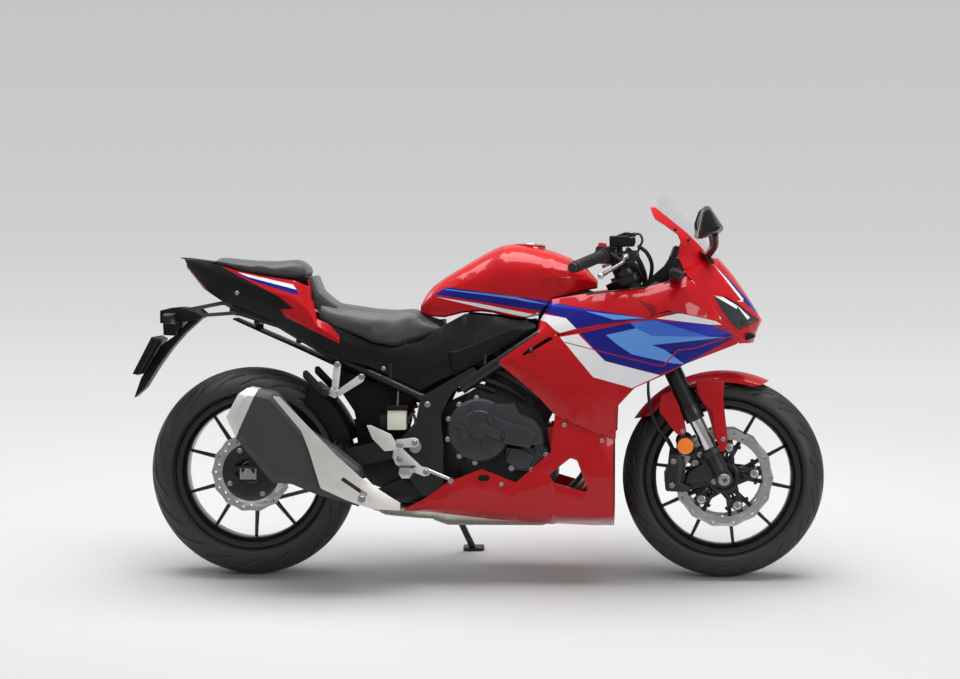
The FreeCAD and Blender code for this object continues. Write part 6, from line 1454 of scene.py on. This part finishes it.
@dataclass
class Chassis:
    """Frame, swingarm, shock, footrests, stand and rear brake."""

    def build(self) -> None:
        """Builds the chassis."""
        build_all(
            Skin("frame", Finishes.POWDER, 1.8), Skin("swingarm", Finishes.POWDER, 2.5),
            Skin("subframe", Finishes.POWDER, 1.0), Skin("fairing_stay", Finishes.POWDER, 1.0),
            Skin("foot_levers", Finishes.ALUMINIUM, 0.8), Skin("rear_brake", Finishes.CAST_BLACK, 1.2),
            Skin("side_stand", Finishes.POWDER, 1.0), Skin("pivot_bolt", Finishes.BOLT, 0.6),
            Skin("rear_axle", Finishes.BOLT, 0.6), Skin("shock", Finishes.ALUMINIUM, 0.6))
        self._spring()
        self._footrests()
        self._hangers()
        self._inner_walls()
        self._bolts()

    def _spring(self) -> None:
        """The shock's coil as round wire."""
        top, low = Vector((-196.0, 0, 592.0)), Vector((-286.0, 0, 424.0))
        ends_mm, coils, per_coil, radius = 77, 6, 28, 26
        way = (top - low).normalized()
        run = (top - low).length - ends_mm
        turn = Vector(UP).rotation_difference(way).to_matrix()
        steps = coils * per_coil
        line = []
        for k in range(steps + 1):
            a = 2 * math.pi * k / per_coil
            spot = Vector((radius * math.cos(a), radius * math.sin(a), run * k / steps))
            line.append(tuple(turn @ spot + low + way * 30))
        Form().tube(line, 4.5, 12).piece("shock_coil", "chassis", Finishes.RED_LENS, 0.0, 50.0,
                                         replaces="shock_spring")

    def _bolts(self) -> None:
        """Bolt heads on the frame, the footrests and the hangers."""
        places = both_sides([(-204, 183.0, 409), (-171, 184.0, 323), (-248, 183.0, 402), (-250, 184.0, 360)])
        places += both_sides([(-169, 154.4, 521)]) + both_sides([(-438, 141.4, 638), (-366, 141.4, 602)])
        spread(screw(7.0, 5.0), places, "frame_bolts", "chassis", Finishes.BOLT)

    def _footrests(self) -> None:
        """The forged footrest brackets with their heel plates, and the ribbed footrests."""
        for side, name, node in ((1, "left", "rearsets"), (-1, "right", "")):
            forging = Form()
            forging.slab([(-262, 418), (-204, 424), (-193, 418), (-192, 400), (-203, 394), (-246, 394),
                          (-262, 402)], side * 168, side * 182, 1.0)
            forging.slab([(-268, 402), (-246, 396), (-184, 338), (-162, 334), (-158, 322), (-162, 312),
                          (-178, 309), (-230, 331), (-262, 344), (-272, 366)], side * 168, side * 184, 1.5)
            forging.slab([(-262, 402), (-240, 398), (-236, 352), (-262, 346)], side * 160, side * 180, 1.0)
            forging.piece("footrest_forging_" + name, "chassis", Finishes.GUARD, 2.0, replaces=node)
        build_all(
            Plate("heel_plates", Finishes.GUARD, 190, 195,
                  ((-346, 461), (-333, 461), (-274, 435), (-261, 414), (-256, 388), (-293, 384), (-330, 422)),
                  1.2, 0.5, both=True),
            Plate("heel_plate_feet", Finishes.ALUMINIUM, 180, 191,
                  ((-285, 412), (-262, 412), (-262, 392), (-280, 392)), 1.0, both=True),
            Plate("footrests", Finishes.ALUMINIUM, 182, 262,
                  ((-244, 342), (-206, 342), (-202, 326), (-212, 308), (-238, 308), (-248, 326)), 3.0, 2.0,
                  both=True))
        pads = Form()
        for k in range(7):
            pads.slab([(-246, 343), (-204, 343), (-200, 340), (-250, 340)], 190 + 10 * k, 195 + 10 * k)
        pads.mirrored().piece("footrest_rubbers", "chassis", Finishes.RUBBER, 0.6)

    def _hangers(self) -> None:
        """The pillion footrest stays with their folded rests, the brake's boot and the linkage plates."""
        stays = Form()
        for outline in (((-449, 638), (-427, 638), (-434, 569), (-449, 548), (-456, 569)),
                        ((-451, 552), (-375, 606), (-355, 604), (-360, 587), (-437, 540)),
                        ((-458, 570), (-438, 575), (-434, 548), (-446, 536), (-466, 545))):
            stays.slab(outline, 132, 142, 0.8)
        stays.mirrored().piece("pillion_stays", "chassis", Finishes.GUARD, 2.0, replaces="pillion_hangers")
        Plate("pillion_rests", Finishes.ABS_SATIN, 138, 152,
              ((-541, 618), (-529, 622), (-462, 553), (-468, 538), (-484, 540), (-541, 600)), 4.0, 2.0,
              both=True).build()
        ends = Form().lathe([(0, 134), (11, 134), (12.5, 137), (12.5, 160), (10.5, 163), (0, 163)],
                            (-474, 0, 556), 24)
        ends.mirrored().piece("pillion_rest_hinges", "chassis", Finishes.ABS_SATIN, 0.8)
        build_all(
            Plate("brake_boot", Finishes.ABS_SATIN, -98, -118,
                  ((-330, 262), (-250, 300), (-117, 270), (-96, 240), (-215, 224), (-330, 228)), 5.0, 1.0),
            Plate("linkage_plates", Finishes.CAST_BLACK, 38, 52,
                  ((-384, 352), (-275, 360), (-164, 318), (-134, 238), (-200, 222), (-266, 246), (-344, 273),
                   (-380, 311)), 3.0, 1.0, both=True))

    def _inner_walls(self) -> None:
        """What closes the view through the frame: guard, air box, tank liner, fluid box, hoses, headers."""
        guard = [(-464, 657), (-300, 590), (-214, 540), (-239, 438), (-385, 448), (-397, 495), (-439, 558)]
        walls = Form().slab(guard, 60, 64).mirrored()
        for a, b in (((-464, 657), (-439, 558)), ((-439, 558), (-397, 495)), ((-397, 495), (-385, 448))):
            walls.slab([a, b, (b[0] + 4, b[1]), (a[0] + 4, a[1])], -62, 62)
        for side in (-1, 1):
            walls.slab([(-235, 530), (-105, 540), (-60, 640), (-220, 650)], side * 42, side * 47)
            walls.slab([(-400, 470), (-250, 470), (-215, 400), (-250, 330), (-330, 330), (-388, 400)],
                       side * 40, side * 44)
        walls.piece("inner_guard", "chassis", Finishes.ABS, 0.5)
        build_all(
            Plate("air_box", Finishes.ABS, -94, 94,
                  ((-160, 640), (-130, 700), (60, 752), (140, 770), (205, 742), (150, 700), (0, 625),
                   (-90, 582), (-150, 600)), 4.0),
            Plate("tank_liner", Finishes.ABS, -92, 92,
                  ((150, 800), (318, 800), (318, 850), (250, 872), (150, 872)), 3.0),
            Plate("brake_fluid_box", Finishes.FLUID, -139, -189,
                  ((-285, 505), (-231, 505), (-231, 447), (-285, 447)), 3.0),
            Plate("brake_fluid_cap", Finishes.ABS, -136, -192,
                  ((-288, 517), (-228, 517), (-228, 504), (-288, 504)), 2.0),
            Plate("brake_fluid_bracket", Finishes.ABS_SATIN, -140, -150,
                  ((-310, 489), (-285, 489), (-285, 446), (-310, 446)), 1.0))
        hoses = Form()
        for route, radius in (
            (((-40, -112, 600), (10, -128, 592), (70, -126, 566), (118, -116, 536)), 9.0),
            (((-30, -100, 640), (40, -116, 620), (110, -122, 580), (160, -118, 540)), 14.0),
            (((20, -100, 676), (90, -118, 640), (150, -124, 598), (186, -118, 556)), 12.0),
            (((-84, -118, 560), (-20, -126, 575), (30, -128, 558)), 7.0),
            (((-231, -160, 470), (-212, -156, 492), (-206, -152, 460), (-232, -150, 430)), 4.0),
        ):
            hoses.tube(curved(route), radius, 14)
        hoses.piece("engine_hoses", "chassis", Finishes.RUBBER, 0.0, 50.0)
        headers = Form()
        for y in (-58, 58):
            route = ((226, y, 470), (286, y, 440), (312, y, 380), (296, y, 300), (232, y * 0.8, 236),
                     (150, y * 0.5, 212))
            headers.tube(curved(route), 19.0, 20)
        headers.piece("exhaust_headers", "chassis", Finishes.TITANIUM, 0.0, 50.0)


@dataclass
class Studio:
    """The pale sweep, the lamps and the camera."""

    focal_px: float = 2763.4
    azimuth: float = 3.629
    elevation: float = 1.952
    roll: float = -0.043
    distance: float = 8300.0
    target: Point = (-23.25, 0.0, 707.37)
    wall_m: float = 30.0
    bend_m: float = 8.0
    rise_m: float = 9.0
    width_m: float = 60.0
    front_m: float = -16.0
    ramp_m: float = 22.0

    def build(self) -> None:
        """Builds the sweep, the lamps, the world and the camera."""
        self._sweep()
        self._lamps()
        self._camera()

    def _sweep(self) -> None:
        """A floor that bends up into a wall, pale below and greyer above."""
        steps = 24
        line = [(self.front_m, 0.0), (self.wall_m - self.bend_m, 0.0)]
        for i in range(1, steps + 1):
            turn = math.pi / 2 * i / steps
            line.append((self.wall_m - self.bend_m + self.bend_m * math.sin(turn),
                         self.bend_m * (1 - math.cos(turn))))
        line.append((self.wall_m, self.bend_m + self.rise_m))
        verts = [(x, y, z) for y, z in line for x in (-self.width_m / 2, self.width_m / 2)]
        faces = [(2 * i, 2 * i + 1, 2 * i + 3, 2 * i + 2) for i in range(len(line) - 1)]
        mesh = bpy.data.meshes.new("studio_sweep")
        mesh.from_pydata(verts, [], faces)
        mesh.shade_smooth()
        sweep = bpy.data.objects.new("studio_sweep", mesh)
        bpy.context.scene.collection.objects.link(sweep)
        mesh.materials.append(self._paper())

    def _paper(self) -> bpy.types.Material:
        """Matt paper that takes the bike's shadow, is darker in front as painted shade, fades into a lit ramp
        behind and into haze in front.
        """
        paper = bpy.data.materials.new("studio_paper_matt")
        paper.use_nodes = True
        tree = paper.node_tree
        tree.nodes.clear()
        place = add_node(tree, "ShaderNodeTexCoord").outputs["Object"]
        away = add_node(tree, "ShaderNodeSeparateXYZ", {"Vector": place}).outputs["Y"]

        def fade(low: float, high: float, kind: str = "SMOOTHSTEP") -> bpy.types.NodeSocket:
            """A share that goes from 0 to 1 between two distances from the camera, in metres."""
            return add_node(tree, "ShaderNodeMapRange", {"Value": away, "From Min": low, "From Max": high},
                            interpolation_type=kind).outputs[0]

        ramp = add_node(tree, "ShaderNodeValToRGB", {"Fac": fade(0.0, self.ramp_m, "LINEAR")})
        stops = ((0.0, "#F0F0F0"), (0.95, "#ECECEC"), (2.46, "#E6E6E6"), (3.7, "#DADADA"), (5.6, "#D0D0D0"),
                 (8.5, "#CBCBCB"), (14.0, "#C7C7C7"), (self.ramp_m, "#C5C5C5"))
        ramp.color_ramp.elements[0].color = linear(stops[0][1])
        ramp.color_ramp.elements[1].color = linear(stops[-1][1])
        for y, code in stops[1:-1]:
            ramp.color_ramp.elements.new(y / self.ramp_m).color = linear(code)
        # Painted shade: the paper is darker in front of the bike, where the studio's light falls off.
        tone = add_node(tree, "ShaderNodeValToRGB", {"Fac": fade(-2.6, -1.4)})
        tone.color_ramp.elements[0].color = linear("#9C9C9C")
        tone.color_ramp.elements[1].color = linear("#BEBEBE")
        matt = add_node(tree, "ShaderNodeBsdfDiffuse", {"Color": tone.outputs[0]}).outputs[0]
        haze = add_node(tree, "ShaderNodeEmission", {
            "Color": linear(WORLD_GREY), "Strength": WORLD_STRENGTH}).outputs[0]
        floor = add_node(tree, "ShaderNodeMixShader", {0: fade(-4.0, -8.0), 1: matt, 2: haze}).outputs[0]
        lit = add_node(tree, "ShaderNodeEmission", {"Color": ramp.outputs[0], "Strength": 1.0}).outputs[0]
        mix = add_node(tree, "ShaderNodeMixShader", {0: fade(0.7, 2.6), 1: floor, 2: lit})
        add_node(tree, "ShaderNodeOutputMaterial", {"Surface": mix.outputs[0]})
        return paper

    def _lamps(self) -> None:
        """A broad softbox overhead, smaller ones at the sides and a dim, even world."""
        world = bpy.data.worlds.new("studio_world")
        bpy.context.scene.world = world
        world.use_nodes = True
        background = world.node_tree.nodes["Background"]
        background.inputs["Color"].default_value = linear(WORLD_GREY)
        background.inputs["Strength"].default_value = WORLD_STRENGTH
        for name, power, size, place, aim in (
            ("softbox_top", 350.0, (5.5, 3.2), (0.0, 0.45, 4.4), (0.0, 0.0, 0.4)),
            ("softbox_front", 85.0, (2.4, 1.8), (4.2, -4.0, 3.0), (0.4, 0.0, 0.6)),
            ("softbox_rear", 60.0, (2.4, 1.8), (-4.5, 2.5, 3.2), (-0.4, 0.0, 0.6)),
        ):
            lamp = bpy.data.lights.new(name, "AREA")
            lamp.shape = "RECTANGLE"
            lamp.size, lamp.size_y = size
            lamp.energy = power
            thing = bpy.data.objects.new(name, lamp)
            thing.location = place
            thing.rotation_euler = (Vector(aim) - Vector(place)).to_track_quat("-Z", "Y").to_euler()
            bpy.context.scene.collection.objects.link(thing)

    def _camera(self) -> None:
        """The camera at the photograph's angle, set against the bike's own axes."""
        turn, rise, roll = (math.radians(a) for a in (self.azimuth, self.elevation, self.roll))
        back = Vector((math.sin(turn) * math.cos(rise), -math.cos(turn) * math.cos(rise), math.sin(rise)))
        right = Vector((math.cos(turn), math.sin(turn), 0.0))
        up = back.cross(right)
        right, up = right * math.cos(roll) + up * math.sin(roll), up * math.cos(roll) - right * math.sin(roll)
        stand = Vector(self.target) + back * self.distance
        data = bpy.data.cameras.new("camera")
        data.sensor_width = SENSOR_MM
        data.lens = self.focal_px * SENSOR_MM / PICTURE_WIDTH_PX
        data.clip_end = 100.0
        camera = bpy.data.objects.new("camera", data)
        axes = Matrix([AXES.way(*v) for v in (right, up, back)]).transposed()
        camera.matrix_world = Matrix.Translation(AXES.place(*stand)) @ axes.to_4x4()
        bpy.context.scene.collection.objects.link(camera)
        bpy.context.scene.camera = camera
        bpy.context.scene.view_settings.view_transform = "Standard"


def main() -> None:
    """Builds the studio and every sub-assembly in order."""
    logging.basicConfig(level=logging.INFO, format="%(name)s: %(message)s")
    for assembly in (Studio(), Wheels(), FrontEnd(), Seats(), Bodywork(), Engine(), Chassis()):
        assembly.build()
        log.info("%s built", type(assembly).__name__)


if __name__ == "__main__":
    main()
